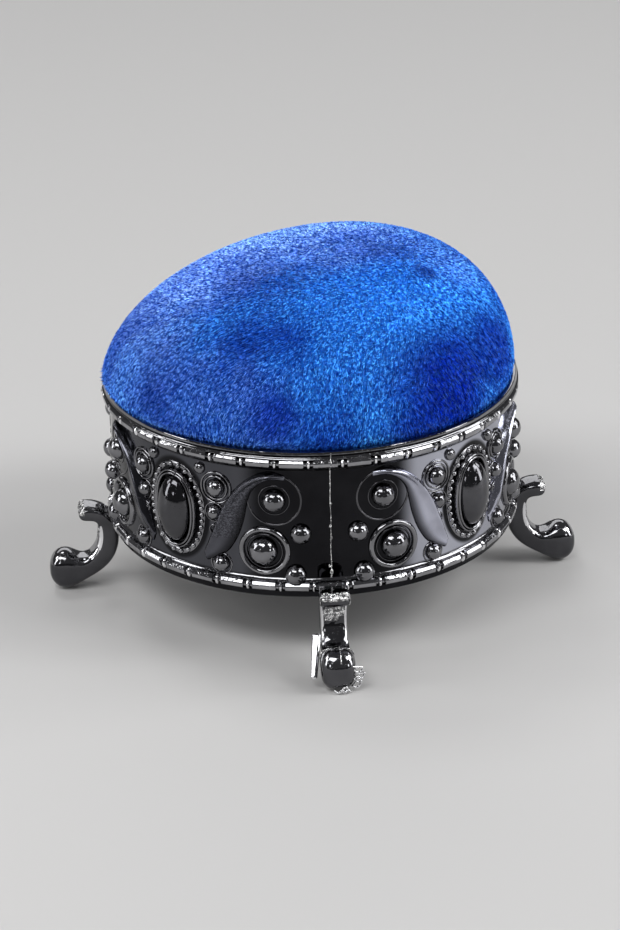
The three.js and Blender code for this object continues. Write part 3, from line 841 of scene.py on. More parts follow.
class PINCUSHION_OT_bead_rows(Operator):
    """Lays the upper and lower rows of bars and reels"""

    bl_idname = "pincushion.bead_rows"
    bl_label = "Bead Rows"

    UPPER_TURN = -0.9  # degrees by which the upper row is out of step with the feet
    FACETS = 8
    FACET_TIP = 40.0  # how far a bar's brightest facet is tipped up
    OVER_FACETS = 1.04  # a bar's width over its corners, as a share of its height
    BAR_ROUNDING = 0.1
    CORE = 0.26  # radius of the ring that the beads sit on, as a share of a bar's height

    def bar(self, height):
        """A bar with eight soft facets that lies along the front of the band, one facet tipped up."""
        ring = sizes()
        bpy.ops.mesh.primitive_cylinder_add(
            vertices=self.FACETS,
            radius=ring.bead_height * self.OVER_FACETS / 2,
            depth=ring.bar_length,
            location=(0, 0, 0),
        )
        bar = bpy.context.object
        bpy.ops.object.mode_set(mode="EDIT")
        bpy.ops.mesh.select_all(action="SELECT")
        bpy.ops.mesh.bevel(offset=self.BAR_ROUNDING * MM, segments=1, affect="EDGES")
        bpy.ops.object.mode_set(mode="OBJECT")
        bar.rotation_euler.y = math.radians(90)
        apply_place(bar)
        half_facet = 180.0 / self.FACETS
        bar.rotation_euler.x = math.radians(half_facet - self.FACET_TIP)
        bar.location = (0, -(ring.band_radius + ring.step_reach), height)
        apply_place(bar)
        return bar

    def reel(self, height):
        """A rounded disc between two bars, seen on edge from the front."""
        ring = sizes()
        bpy.ops.mesh.primitive_uv_sphere_add(
            segments=24,
            ring_count=12,
            radius=ring.reel_radius,
            location=(0, -(ring.band_radius + ring.step_reach), height),
            rotation=(0, math.radians(90), 0),
        )
        reel = bpy.context.object
        number_by_place(reel)
        reel.scale.z = ring.reel_length / (2 * ring.reel_radius)
        for finish in ("beads", "skin"):
            reel.data.materials.append(plating(finish))
        for face in reel.data.polygons:
            face.material_index = 1
        return reel

    def execute(self, context):
        ring = sizes()
        pitch = 360.0 / ring.bead_count
        for name, height, turn in (
            ("upper_bead_row", ring.upper_beads, self.UPPER_TURN),
            ("lower_bead_row", ring.lower_beads, 0.0),
        ):
            angles = [pitch * bead + turn for bead in range(ring.bead_count)]
            bars = around(self.bar(height), angles)
            reels = around(self.reel(height), [angle + pitch / 2 for angle in angles])
            bpy.ops.mesh.primitive_torus_add(
                major_radius=ring.band_radius + ring.step_reach,
                minor_radius=ring.bead_height * self.CORE,
                major_segments=200,
                minor_segments=10,
                location=(0, 0, height),
            )
            core = bpy.context.object
            row = join([bars, reels, core])
            finish_piece(row, name, [plating("beads"), plating("skin")], 16.0)
        return {"FINISHED"}


class PINCUSHION_OT_pearls(Operator):
    """Sets the pearls and the lines round them on the band"""

    bl_idname = "pincushion.pearls"
    bl_label = "Pearls"

    # angle, height, radius and reach outwards, in degrees and millimetres
    PEARLS = (
        (15.0, 32.6, 2.2, 2.1),
        (18.2, 22.5, 2.7, 2.3),
        (7.8, 26.15, 1.95, 1.9),
        (9.4, 18.0, 1.98, 1.9),
        (31.6, 33.8, 1.75, 1.7),
        (32.2, 28.9, 1.45, 1.5),
        (30.5, 18.9, 1.65, 1.6),
        (36.6, 37.0, 1.15, 1.0),
        (32.3, 25.4, 0.55, 0.45),
        (27.8, 28.4, 0.35, 0.3),
    )
    # angle, height, radius, width and reach outwards
    FAINT_LINES = (
        (15.0, 32.6, 4.9, 0.4, 0.14),
        (15.0, 32.6, 2.8, 0.25, 0.12),
        (17.9, 22.55, 3.3, 0.35, 0.35),
    )
    LINES = (
        (17.9, 22.55, 4.25, 1.15, 0.75),
        (31.6, 33.8, 2.25, 0.4, 0.5),
        (31.6, 33.8, 2.95, 0.4, 0.4),
        (32.2, 28.9, 1.85, 0.3, 0.3),
        (32.3, 25.4, 0.95, 0.3, 0.35),
        (27.8, 28.4, 0.65, 0.2, 0.2),
        (30.5, 18.9, 2.05, 0.3, 0.25),
    )

    def execute(self, context):
        balls = [pearl(angle, z * MM, radius * MM, out * MM) for angle, z, radius, out in self.PEARLS]
        pearls = eight_fold(balls)
        finish_piece(pearls, "cast_pearls", [plating("pearls")], 80.0)
        lines = []
        for part, group in (("relief", self.LINES), ("foot", self.FAINT_LINES)):
            for angle, z, radius, width, out in group:
                line = round_line(angle, z * MM, radius * MM, width * MM, out * MM)
                line.data.materials.append(plating(part))
                lines.append(line)
        rings = eight_fold(lines)
        finish_piece(rings, "pearl_rings", [plating("relief"), plating("foot")], 80.0)
        return {"FINISHED"}


class PINCUSHION_OT_leaves(Operator):
    """Shapes the scroll leaves between the bosses and the cabochons"""

    bl_idname = "pincushion.leaves"
    bl_label = "Scroll Leaves"

    # angle and height of the sharp crest and of the leaf's low edge, from the tip over the boss downwards
    CREST = (
        (12.0, 37.2),
        (15.8, 37.6),
        (19.9, 36.8),
        (23.6, 35.0),
        (26.7, 32.4),
        (29.1, 29.4),
        (31.0, 26.3),
        (33.0, 23.3),
        (35.6, 20.2),
    )
    LOW_EDGE = (
        (12.0, 36.9),
        (15.8, 37.0),
        (19.3, 35.9),
        (21.9, 33.9),
        (23.1, 31.2),
        (24.0, 28.3),
        (25.8, 24.9),
        (29.2, 21.5),
        (35.2, 19.2),
    )
    # across the leaf: share of the way from the crest to the low edge, and height above the band
    SECTION = (
        (-0.2, -0.35),
        (-0.12, 0.15),
        (-0.03, 1.15),
        (0.0, 1.35),
        (0.04, 1.2),
        (0.2, 0.72),
        (0.45, 0.42),
        (0.75, 0.3),
        (0.93, 0.26),
        (1.0, -0.35),
    )
    CREST_HIGHLIGHT_COLUMNS = (-0.12, -0.03, 0.0, 0.04)  # the shares where a strip along the crest takes the relief plating: a painted highlight
    STEPS = 44
    THICKNESS = 0.3
    END_SLOPE = 6.0  # its reach is full a sixth of its length from each end
    TIP_WIDTH = 0.25  # added across at the leaf's ends, so that they keep some width
    GRAINY = (-34.0, -17.0)  # angles between which the leaf left of the front foot has rough skin
    GRAIN_END = 24.5  # height at which its rough skin ends

    def execute(self, context):
        crest = [panel_place(angle, z * MM) for angle, z in self.CREST]
        low_edge = [panel_place(angle, z * MM) for angle, z in self.LOW_EDGE]
        columns = len(self.SECTION)
        bpy.ops.mesh.primitive_grid_add(x_subdivisions=self.STEPS - 1, y_subdivisions=columns - 1, size=1.0)
        leaf = bpy.context.object
        # across_leaf runs from the crest to the low edge and drives the painted reflection that fades each
        # leaf.
        across_leaf = leaf.data.attributes.new("across_leaf", "FLOAT", "POINT")
        for index, corner in enumerate(leaf.data.vertices):
            step = index % self.STEPS
            across, out = self.SECTION[index // self.STEPS]
            across_leaf.data[index].value = max(across, 0.0)
            share = step / (self.STEPS - 1)
            top = smooth_through(crest, share)
            low = smooth_through(low_edge, share)
            way = low - top
            rise = min(1.0, self.END_SLOPE * share, self.END_SLOPE * (1.0 - share))
            place = top + way * across + way.normalized() * (across * self.TIP_WIDTH * MM)
            reach = out * MM * rise if out > 0 else out * MM
            corner.co = (place.x, -reach, place.z)
        for _ in range(3):  # the modifiers keep a face's material index only where it has a slot
            leaf.data.materials.append(None)
        for face in leaf.data.polygons:
            column = min(corner // self.STEPS for corner in face.vertices)
            face.material_index = 2 if self.SECTION[column][0] in self.CREST_HIGHLIGHT_COLUMNS else 0
        apply_modifier(leaf, "SOLIDIFY", thickness=self.THICKNESS * MM, offset=-1.0)
        apply_modifier(leaf, "SUBSURF", levels=1, render_levels=1)
        close_up(leaf)
        leaves = eight_fold([leaf])
        for face in leaves.data.polygons:
            angle = math.degrees(math.atan2(face.center.x, -face.center.y))
            grainy = self.GRAINY[0] < angle < self.GRAINY[1] and face.center.z > self.GRAIN_END * MM
            face.material_index = 1 if grainy else face.material_index
        finishes_used = [plating("leaf"), rough_casting("leaf", 0.5), plating("relief")]
        finish_piece(leaves, "scroll_leaves", finishes_used, 45.0)
        return {"FINISHED"}


class PINCUSHION_OT_cabochons(Operator):
    """Builds the oval cabochons with their rims and beaded borders"""

    bl_idname = "pincushion.cabochons"
    bl_label = "Cabochons"

    DOME = (3.6, 6.6, 3.4)  # half width, half height and reach
    DOTS = 30
    DOT_OVAL = (5.9, 8.6)  # half width and half height of the oval that the dots lie on
    DOT_RADIUS = 0.5
    DOT_REACH = 0.25  # of a dot's middle beyond the band
    # half width, half height, line width and reach; the last carries the dots
    LINES = ((4.0, 7.0, 0.5, 1.3), (4.55, 7.5, 0.45, 1.2), (*DOT_OVAL, 1.15, 0.25))

    def execute(self, context):
        half_width, half_height, out = self.DOME
        bpy.ops.mesh.primitive_uv_sphere_add(
            segments=48,
            ring_count=24,
            radius=1.0,
            location=panel_place(0.0, CABOCHON_HEIGHT),
            rotation=(math.radians(90), 0, 0),
        )
        dome = bpy.context.object
        number_by_place(dome)
        dome.scale = (half_width * MM, half_height * MM, out * MM)
        lines = [oval_line(CABOCHON_HEIGHT, *(value * MM for value in line)) for line in self.LINES]
        dots = []
        wide, high = self.DOT_OVAL
        for dot in range(self.DOTS):
            turn = 2 * math.pi * dot / self.DOTS
            squeeze = math.atan2(wide * math.sin(turn), high * math.cos(turn))
            sideways = wide * MM * math.cos(squeeze)
            height = CABOCHON_HEIGHT + high * MM * math.sin(squeeze)
            bpy.ops.mesh.primitive_ico_sphere_add(
                subdivisions=2,
                radius=self.DOT_RADIUS * MM,
                location=(sideways, -self.DOT_REACH * MM, height),
            )
            dots.append(bpy.context.object)
        places = [QUARTER / 2 + angle for angle in FEET.values()]
        for name, flat, finishes_used in (
            ("cabochon_rims", join(lines), [plating("relief")]),
            ("cabochon_beads", join(dots), [plating("beads")]),
            ("cabochon_domes", dome, [plating("foot")]),
        ):
            ring_of_four = around(bend_onto_band(flat), places)
            finish_piece(ring_of_four, name, finishes_used, 80.0)
        return {"FINISHED"}


class PINCUSHION_OT_seams(Operator):
    """Draws the line of flash that the mould left over each foot"""

    bl_idname = "pincushion.seams"
    bl_label = "Mould Seams"

    WIDTH = 0.2
    WOBBLE = (0.0, 0.06, -0.04, 0.05, 0.08, -0.03, 0.04, 0.0)  # sideways, at even steps up the band
    # sideways, reach beyond the band and height
    OVER_LIP = ((0.05, 0.1, 38.6), (0.0, 0.75, 39.3), (0.15, 1.4, 40.2), (0.1, 1.2, 41.2), (0.2, 1.05, 42.3))
    # sideways, height and radius
    BLOBS = (
        (0.1, 31.9, 0.2),
        (-0.12, 27.4, 0.18),
        (0.12, 25.2, 0.24),
        (0.05, 18.4, 0.35),
        (-0.3, 19.6, 0.24),
    )
    BLOB_STRETCH = 1.4

    def execute(self, context):
        ring = sizes()
        low = ring.lower_beads + ring.bead_height / 2
        high = ring.upper_beads - ring.bead_height / 2
        step = (high - low) / (len(self.WOBBLE) - 1)
        up_the_band = [Vector((sway * MM, 0, low + index * step)) for index, sway in enumerate(self.WOBBLE)]
        over_the_lip = [Vector((sway, -out, height)) * MM for sway, out, height in self.OVER_LIP]
        parts = [flash_line(up_the_band, self.WIDTH * MM), flash_line(over_the_lip, self.WIDTH * MM)]
        for sway, height, radius in self.BLOBS:
            bpy.ops.mesh.primitive_ico_sphere_add(
                subdivisions=3, radius=radius * MM, location=(sway * MM, 0, height * MM)
            )
            blob = bpy.context.object
            blob.scale.z = self.BLOB_STRETCH
            parts.append(blob)
        seam = join(parts)
        seam.location.y = -ring.band_radius
        seams = around(seam, [angle + SEAM_TURN for angle in FEET.values()])
        close_up(seams)
        finish_piece(seams, "mould_seams", [rough_casting()], 60.0)
        return {"FINISHED"}


class PINCUSHION_OT_feet(Operator):
    """Models a C-scroll foot and sets one under each seam"""

    bl_idname = "pincushion.feet"
    bl_label = "Feet"

    # distance from the ring's axis, height, direction of travel in degrees (180 is inwards, 270 down),
    # thickness and width, from the arm's tip to the toe's front
    PATH = (
        (44.85, 15.75, 180.0, 0.9, 3.6),
        (44.6, 15.75, 180.0, 2.1, 5.1),
        (43.9, 15.75, 180.0, 3.0, 5.8),
        (42.2, 15.7, 182.0, 2.9, 5.7),
        (40.8, 15.2, 205.0, 3.1, 5.5),
        (39.75, 13.9, 240.0, 3.6, 5.2),
        (39.3, 12.2, 262.0, 4.0, 5.1),
        (39.3, 10.2, 272.0, 4.2, 5.0),
        (39.75, 8.2, 292.0, 4.3, 5.0),
        (40.85, 6.3, 312.0, 4.2, 5.1),
        (42.5, 4.9, 334.0, 3.9, 5.3),
        (44.2, 4.15, 350.0, 4.3, 5.7),
        (45.5, 3.95, 358.0, 5.6, 6.1),
        (46.9, 3.98, 0.0, 7.7, 6.5),
        (48.3, 4.0, 0.0, 8.0, 6.5),
        (49.6, 4.0, 0.0, 6.9, 6.0),
        (50.5, 3.95, 0.0, 4.4, 4.6),
        (50.9, 3.9, 0.0, 1.8, 2.4),
    )
    CORNERS = 20
    ROUNDNESS = 0.5  # 1 gives a round section and 0 a square one
    TOE_ROUNDNESS = 0.75
    TOE_FROM = 46.0  # distance from the axis where the sections turn rounder
    ARM_EDGE_FROM = 43.6  # distance from the axis where the arm's rough edge begins
    ARM_EDGE_LOW, ARM_EDGE_HIGH = 15.8, 17.4
    PATCH_LOW, PATCH_HIGH = 10.7, 13.0  # heights of the rough patch on the front of the stem
    PATCH_HALF_WIDTH = 1.9
    RAGGED_SCALE = 1300.0  # of the patch's edge, which wanders up and down and sideways
    RAGGED_UP, RAGGED_SIDEWAYS = 1.1, 0.5
    GRAIN_SIZE, GRAIN_HEIGHT = 0.5, 0.5  # of the rough skin
    EDGE_LOW, EDGE_HIGH = 6.5, 13.2  # heights between which the stem's front corners take the bright skin plating: a painted highlight
    PAINTED_HIGHLIGHT_UP = 0.3  # least upward part of the normal of what takes the relief plating: a painted highlight
    CORNER_FRONT, CORNER_SIDE = 0.2, 0.45  # least forward and sideways parts of a stem corner's normal
    PATCH_FRONT = 0.5  # least forward part of the patch's normal
    TOE = 13  # where in the path the toe's ball begins
    NECK = (45.9, 3.95, 0.0, 6.2, 6.15)  # section where the toe's ball begins
    ARM_TIP = (44.5, 15.75, 180.0, 2.4, 5.35)  # section where the arm ends
    LINE_SHIFT = 0.35  # of the mould line down the toe, sideways
    LINE_WIDTH = 0.2
    # sideways, distance and height along each loop of the crumpled flash beside and below the toe
    FLASH = (
        (
            (2.4, 49.9, 5.2), (3.5, 49.6, 5.0), (4.3, 49.3, 4.6),
            (3.8, 49.5, 3.9), (3.0, 49.6, 4.1), (2.6, 49.8, 4.6),
        ),
        (
            (2.9, 49.5, 3.9), (3.8, 49.4, 3.4), (4.6, 49.2, 3.6),
            (4.4, 49.3, 2.7), (3.6, 49.5, 2.5), (3.0, 49.6, 3.1),
        ),
        (
            (2.6, 49.6, 2.7), (3.3, 49.5, 1.9), (4.0, 49.3, 1.9),
            (3.7, 49.4, 1.1), (2.9, 49.6, 0.9), (2.3, 49.8, 1.5),
        ),
        ((2.3, 50.0, 1.2), (3.0, 49.7, 2.2), (3.4, 49.5, 3.0), (4.1, 49.3, 2.4), (4.5, 49.2, 3.1)),
        (
            (-0.9, 50.1, 0.75), (-0.3, 50.5, 0.4), (0.4, 50.4, 0.9),
            (0.9, 50.6, 0.45), (1.5, 50.3, 0.8), (2.0, 50.1, 0.4),
        ),
        ((0.2, 50.4, 0.5), (0.6, 50.6, 1.2), (1.2, 50.5, 1.5), (1.5, 50.4, 0.9), (1.0, 50.5, 0.6)),
    )
    FLASH_WIDTH = 0.34
    STUB = (-3.95, 45.5, 5.4, 8.5, 1.75)  # sideways, distance, height, length and width of the feeder's stub
    STUB_DEPTH, STUB_BEVEL = 0.7, 0.3  # as shares of its width
    STUB_TAPER = (0.66, 0.9, 1.0)  # its lower end's size, as shares of its upper end's
    STUB_LEAN = 40.0
    STUB_TURN = -13.0
    FLAT_FACES = 6
    FLAT_INSET = 0.06  # keeps the stub's flat faces flat in their shading

    def section(self, radius, height, direction, thickness, width):
        """Corners of a rounded section across the path. The foot points to -Y."""
        turn = math.radians(direction)
        across = Vector((0, math.sin(turn), math.cos(turn)))
        centre = Vector((0, -radius * MM, height * MM))
        roundness = self.TOE_ROUNDNESS if radius > self.TOE_FROM else self.ROUNDNESS
        corners = []
        for index in range(self.CORNERS):
            angle = 2 * math.pi * (index + 0.5) / self.CORNERS
            side = math.copysign(abs(math.cos(angle)) ** roundness, math.cos(angle))
            up = math.copysign(abs(math.sin(angle)) ** roundness, math.sin(angle))
            sideways = Vector((side * width * MM / 2, 0, 0))
            corners.append(centre + sideways + across * (up * thickness * MM / 2))
        return corners

    def crumpled_flash(self):
        """Thin loops of flash that the mould left at the toe's side and foot."""
        loops = []
        for loop in self.FLASH:
            places = [Vector((sideways, -radius, height)) * MM for sideways, radius, height in loop]
            wire = flash_line(places, self.FLASH_WIDTH * MM)
            wire.data.materials.append(plating("skin"))
            loops.append(wire)
        return loops

    def feeder_stub(self):
        """The flat stub beside the toe, where the metal was fed in. It leans back."""
        sideways, radius, height, long, wide = (value * MM for value in self.STUB)
        size = (wide, wide * self.STUB_DEPTH, long)
        bpy.ops.mesh.primitive_cube_add(size=1.0, location=(0, 0, 0), scale=size)
        stub = bpy.context.object
        apply_place(stub)
        bpy.ops.object.mode_set(mode="EDIT")
        pick_edges(stub, lambda a, b: a.z < 0 and b.z < 0)
        bpy.ops.transform.resize(value=self.STUB_TAPER, center_override=(wide / 4, 0, 0))
        bpy.ops.mesh.select_all(action="SELECT")
        bpy.ops.mesh.bevel(offset=wide * self.STUB_BEVEL, segments=4, affect="EDGES")
        mesh = bmesh.from_edit_mesh(stub.data)
        bpy.ops.mesh.select_all(action="DESELECT")
        for face in sorted(mesh.faces, key=lambda face: face.calc_area())[-self.FLAT_FACES :]:
            face.select_set(True)
        bmesh.update_edit_mesh(stub.data)
        bpy.ops.mesh.inset(thickness=self.FLAT_INSET * MM, use_individual=True)
        bpy.ops.object.mode_set(mode="OBJECT")
        number_by_place(stub)
        stub.data.materials.append(plating("skin"))
        stub.rotation_euler = (-math.radians(self.STUB_LEAN), 0, math.radians(self.STUB_TURN))
        stub.location = (sideways, -radius, height)
        return stub

    def toe_lines(self):
        """The thin mould lines: round the toe's neck, down its middle and round the arm's tip."""
        corners = self.section(*self.NECK)
        round_neck = corners[-2:] + corners[: self.CORNERS // 2 + 2]
        over = []
        for radius, height, _, thickness, _ in self.PATH[self.TOE : -1]:
            over.append(Vector((self.LINE_SHIFT, -radius, height + thickness / 2)) * MM)
        tip = self.section(*self.ARM_TIP)
        round_tip = tip[self.CORNERS // 2 - 2 :] + tip[:2]
        lines = [flash_line(places, self.LINE_WIDTH * MM) for places in (round_neck, over, round_tip)]
        for line in lines:
            line.data.materials.append(rough_casting())
        return lines

    def roughen(self, foot):
        """Paints the arm's front edge and the upper stem as rough casting skin, and makes them uneven.

        What faces up takes the brighter relief plating and the stem's front corners the bright skin plating:
        painted highlights. A face's material index is its place in finishes_used.
        """
        rough = []
        for face in foot.data.polygons:
            sideways, radius, height = abs(face.center.x) / MM, -face.center.y / MM, face.center.z / MM
            arm_edge = radius > self.ARM_EDGE_FROM and self.ARM_EDGE_LOW < height < self.ARM_EDGE_HIGH
            ragged = noise.noise(face.center * self.RAGGED_SCALE)
            patch_low = self.PATCH_LOW + self.RAGGED_UP * ragged
            patch_side = self.PATCH_HALF_WIDTH + self.RAGGED_SIDEWAYS * ragged
            in_patch = patch_low < height < self.PATCH_HIGH and sideways < patch_side
            forward = -face.normal.y
            at_corner = forward > self.CORNER_FRONT and abs(face.normal.x) > self.CORNER_SIDE
            if arm_edge or (in_patch and forward > self.PATCH_FRONT):
                face.material_index = 1
                rough.extend(face.vertices)
            # The stem's front corners take the bright skin plating and what faces up takes the relief
            # plating: painted highlights.
            elif at_corner and self.EDGE_LOW < height < self.EDGE_HIGH:
                face.material_index = 3
            elif face.normal.z > self.PAINTED_HIGHLIGHT_UP:
                face.material_index = 2
        group = foot.vertex_groups.new(name="rough")
        group.add(rough, 1.0, "REPLACE")
        grains = bpy.data.textures.new("casting_grains", "CLOUDS")
        grains.noise_scale = self.GRAIN_SIZE * MM
        grains.noise_depth = 1
        apply_modifier(
            foot,
            "DISPLACE",
            texture=grains,
            vertex_group=group.name,
            strength=self.GRAIN_HEIGHT * MM,
            mid_level=0.5,
        )

    def execute(self, context):
        foot = extruded_through([self.section(*station) for station in self.PATH])
        apply_modifier(foot, "SUBSURF", levels=2, render_levels=2)
        finishes_used = [plating("foot"), rough_casting(), plating("relief"), plating("skin")]
        for material in finishes_used:
            foot.data.materials.append(material)
        self.roughen(foot)
        for name, angle in FEET.items():
            copy = copy_of(foot)
            if name == "front_foot":
                copy = join([copy, *self.toe_lines(), *self.crumpled_flash(), self.feeder_stub()])
            copy.rotation_euler.z = math.radians(angle + SEAM_TURN)
            finish_piece(copy, name + "_casting", finishes_used, 60.0)
            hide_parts(name)
        bpy.data.objects.remove(foot)
        return {"FINISHED"}


class PINCUSHION_OT_cushion(Operator):
    """Shapes the velvet cushion and raises its pile"""

    bl_idname = "pincushion.cushion"
    bl_label = "Velvet Cushion"

    SIDES = 144
    RINGS = 30
    SHOULDER, CROWN = 0.85, 0.98  # powers that round the dome's outline: 1 gives a quarter of an ellipse
    TILT_FADE = 0.8  # how fast the tilt fades towards the crown
    LEFT_FLANK = 0.7  # how much flatter the left side is half way up
    SIDE_SINK, CROWN_SINK = 0.4, 0.4  # how far the cloth lies below the pile's outline
    SIDE_TUCK, FRONT_TUCK, TUCK_HEIGHT = 0.25, 1.5, 2.4  # how the cloth tucks in above the lip
    EDGE_TUCK = 1.6  # how much narrower the dome's foot is than its edge
    ROOM = 0.3  # between the cushion and the ring's wall
    MOUTH_SHARE, MOUTH_DEPTH = 0.55, 0.9  # share of the ring's flare that it fills, at a depth below the lip
    BOTTOM = 3.5  # height of its underside above the ring's lower edge
    LOWER_CORNER, CORNER_CUT = 2.2, 0.3  # its lower corner, and the cut across that as a share of it
    MIDDLE = 1.0  # radius at which an underside is capped
    CLOTH = 0.8  # how far the filling lies inside the cloth
    EDGE_ROOM = 2.2  # and how far near the lip, where the cloth tucks in
    EDGE_REACH = 4.0  # how far up and down from the dome's foot that is
    FILLING_BOTTOM = 4.5  # height of the filling's underside above the ring's lower edge
    FILLING_CORNER = 1.0
    LUMP_SIZE, LUMP_DEPTH = 4.0, 0.5
    PILE_BELOW = 0.3  # how far below the dome's foot the pile still grows
    # the side of the middle that each quarter of the pile is on: along X and along Y
    QUARTERS = {
        "velvet_pile_front_left": (-1, -1),
        "velvet_pile_front_right": (1, -1),
        "velvet_pile_back_left": (-1, 1),
        "velvet_pile_back_right": (1, 1),
    }

    def dome_profile(self):
        """Radius and height of each ring, from the crown to the edge, on a dome that doesn't tilt."""
        form = cushion_sizes()
        profile = []
        for ring in range(self.RINGS):
            rise = (1 - (ring + 0.5) / self.RINGS) * math.pi / 2
            across = math.cos(rise) ** self.SHOULDER
            up = math.sin(rise) ** self.CROWN
            radius = (form.edge_radius - self.SIDE_SINK * MM) * across
            height = (form.crown_height - self.CROWN_SINK * MM) * up
            profile.append((radius, form.base_height + height))
        return profile

    def tilt_dome(self, piece):
        """Lifts the right shoulder and shifts the crown, as the real cushion sits."""
        form = cushion_sizes()
        for corner in piece.data.vertices:
            rise = corner.co.z - form.base_height
            if rise <= 0:
                continue
            radius = math.hypot(corner.co.x, corner.co.y)
            up = min(rise / form.crown_height, 1.0)
            across = math.cos(math.asin(up)) ** self.TILT_FADE
            side = corner.co.x / radius if radius else 0.0
            front = abs(corner.co.y) / radius if radius else 0.0
            low_share = max(0.0, 1 - rise / (self.TUCK_HEIGHT * MM))
            tuck = (self.SIDE_TUCK + (self.FRONT_TUCK - self.SIDE_TUCK) * front) * MM * low_share**2
            corner.co.x *= 1 - tuck / max(radius, MM)
            corner.co.y *= 1 - tuck / max(radius, MM)
            corner.co.z = form.base_height + rise * (1 + form.tilt * side * across)
            corner.co.x += form.crown_lean * up - form.edge_lean * (1 - up)
            corner.co.x += self.LEFT_FLANK * MM * max(0.0, -side) * 4 * up * (1 - up)

    def execute(self, context):
        ring = sizes()
        form = cushion_sizes()
        wall = ring.inner_radius - self.ROOM * MM
        bottom = RING_LOW.z + self.BOTTOM * MM
        mouth = RING_HIGH.z - ring.mouth_depth
        corner = self.LOWER_CORNER * MM
        cut = corner * self.CORNER_CUT
        profile = self.dome_profile()
        profile += [
            (form.edge_radius - self.EDGE_TUCK * MM, form.base_height),
            (wall + ring.mouth_flare * self.MOUTH_SHARE, RING_HIGH.z - self.MOUTH_DEPTH * MM),
            (wall, mouth),
            (wall, bottom + corner),
            (wall - cut, bottom + cut),
            (wall - corner, bottom),
            (self.MIDDLE * MM, bottom),
        ]
        self.fill_cushion(profile)
        body = turned(profile, self.SIDES, closed=False)
        self.tilt_dome(body)
        base = copy_of(body)
        finish_piece(body, "velvet_cushion", [velvet("velvet_cloth", pile=False)], 60.0)
        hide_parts("velvet_cover")
        for name, quarter in self.QUARTERS.items():
            pile = copy_of(base)
            self.raise_pile(pile, *quarter)
            finish_piece(pile, name, [velvet("velvet_pile", pile=True)], 30.0)
        bpy.data.objects.remove(base)
        return {"FINISHED"}

    def fill_cushion(self, cover_profile):
        """Packs the fibre filling: a lumpy dome inside the cloth."""
        form = cushion_sizes()
        inside = []
        for radius, height in cover_profile[:-2]:
            sunk = height - self.CLOTH * MM if height > form.base_height else height
            near_edge = abs(height - form.base_height) <= self.EDGE_REACH * MM
            room = self.EDGE_ROOM if near_edge else self.CLOTH
            inside.append((max(radius - room * MM, self.MIDDLE * MM / 2), sunk))
        bottom = RING_LOW.z + self.FILLING_BOTTOM * MM
        inside.append((inside[-1][0] - self.FILLING_CORNER * MM, bottom))
        inside.append((self.MIDDLE * MM, bottom))
        filling = turned(inside, self.SIDES, closed=False)
        self.tilt_dome(filling)
        lumps = bpy.data.textures.new("fibre_lumps", "CLOUDS")
        lumps.noise_scale = self.LUMP_SIZE * MM
        apply_modifier(filling, "DISPLACE", texture=lumps, strength=-self.LUMP_DEPTH * MM, mid_level=0.0)
        fibre = fibrous("fibre_filling", tuple(finishes().fibre), 900.0, 0.12)
        finish_piece(filling, "fibre_filling", [fibre], 60.0)
        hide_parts("stuffing")

    def raise_pile(self, pile, side_x, side_y):
        """Turns one quarter of the dome's surface into tufts that lean with the nap."""
        form = cushion_sizes()
        select_only(pile)
        bpy.ops.object.mode_set(mode="EDIT")
        mesh = bmesh.from_edit_mesh(pile.data)
        bpy.ops.mesh.select_all(action="DESELECT")
        for face in mesh.faces:
            middle = face.calc_center_median()
            other_quarter = middle.x * side_x < 0 or middle.y * side_y < 0
            face.select_set(other_quarter or middle.z < form.base_height - self.PILE_BELOW * MM)
        bmesh.update_edit_mesh(pile.data)
        bpy.ops.mesh.delete(type="FACE")
        bpy.ops.object.mode_set(mode="OBJECT")
        bpy.ops.mesh.primitive_cone_add(
            vertices=3,
            radius1=form.pile_width / 2,
            radius2=0.0,
            depth=form.pile_length,
            location=(0, 0, 0),
        )
        tuft = bpy.context.object
        tuft.location.z = form.pile_length / 2
        apply_place(tuft)
        # tuft_tip runs from a tuft's root to its tip and carries the painted shade at the roots and the
        # painted highlight at the tips.
        tip = tuft.data.attributes.new("tuft_tip", "FLOAT", "POINT")
        tip.data.foreach_set("value", [corner.co.z / form.pile_length for corner in tuft.data.vertices])
        tree = pile_nodes(tuft)
        select_only(pile)
        bpy.ops.object.modifier_add(type="NODES")
        modifier = pile.modifiers[-1]
        modifier.node_group = tree
        bpy.ops.object.modifier_apply(modifier=modifier.name)
        bpy.data.objects.remove(tuft)


# how the tufts' direction wanders, broadly and finely, as a noise's scale and how far it sways
BROAD_SCALE, BROAD_SWAY = 60.0, 2.2
FINE_SCALE, COMBED_SWAY, TOUSLED_SWAY = 1300.0, 1.5, 3.0
COMBED_UP_TO, TOUSLED_FROM = -25 * MM, 0.0  # across the cushion: combed to the left, tousled to the right
AWAY_FROM_MIDDLE = (14.0, 4.0, 0.0)  # how strongly the pile lies outwards, for a metre along each axis
COMBED = (-0.35, -0.2, -0.9)  # the way it was brushed
UPRIGHT, LYING = 0.4, 0.9  # how much of a tuft's direction is the surface's own, and how much the nap's
TUFT_SIZES = (0.7, 1.25)
SCATTER_SEED, SHADE_SEED = 7, 3


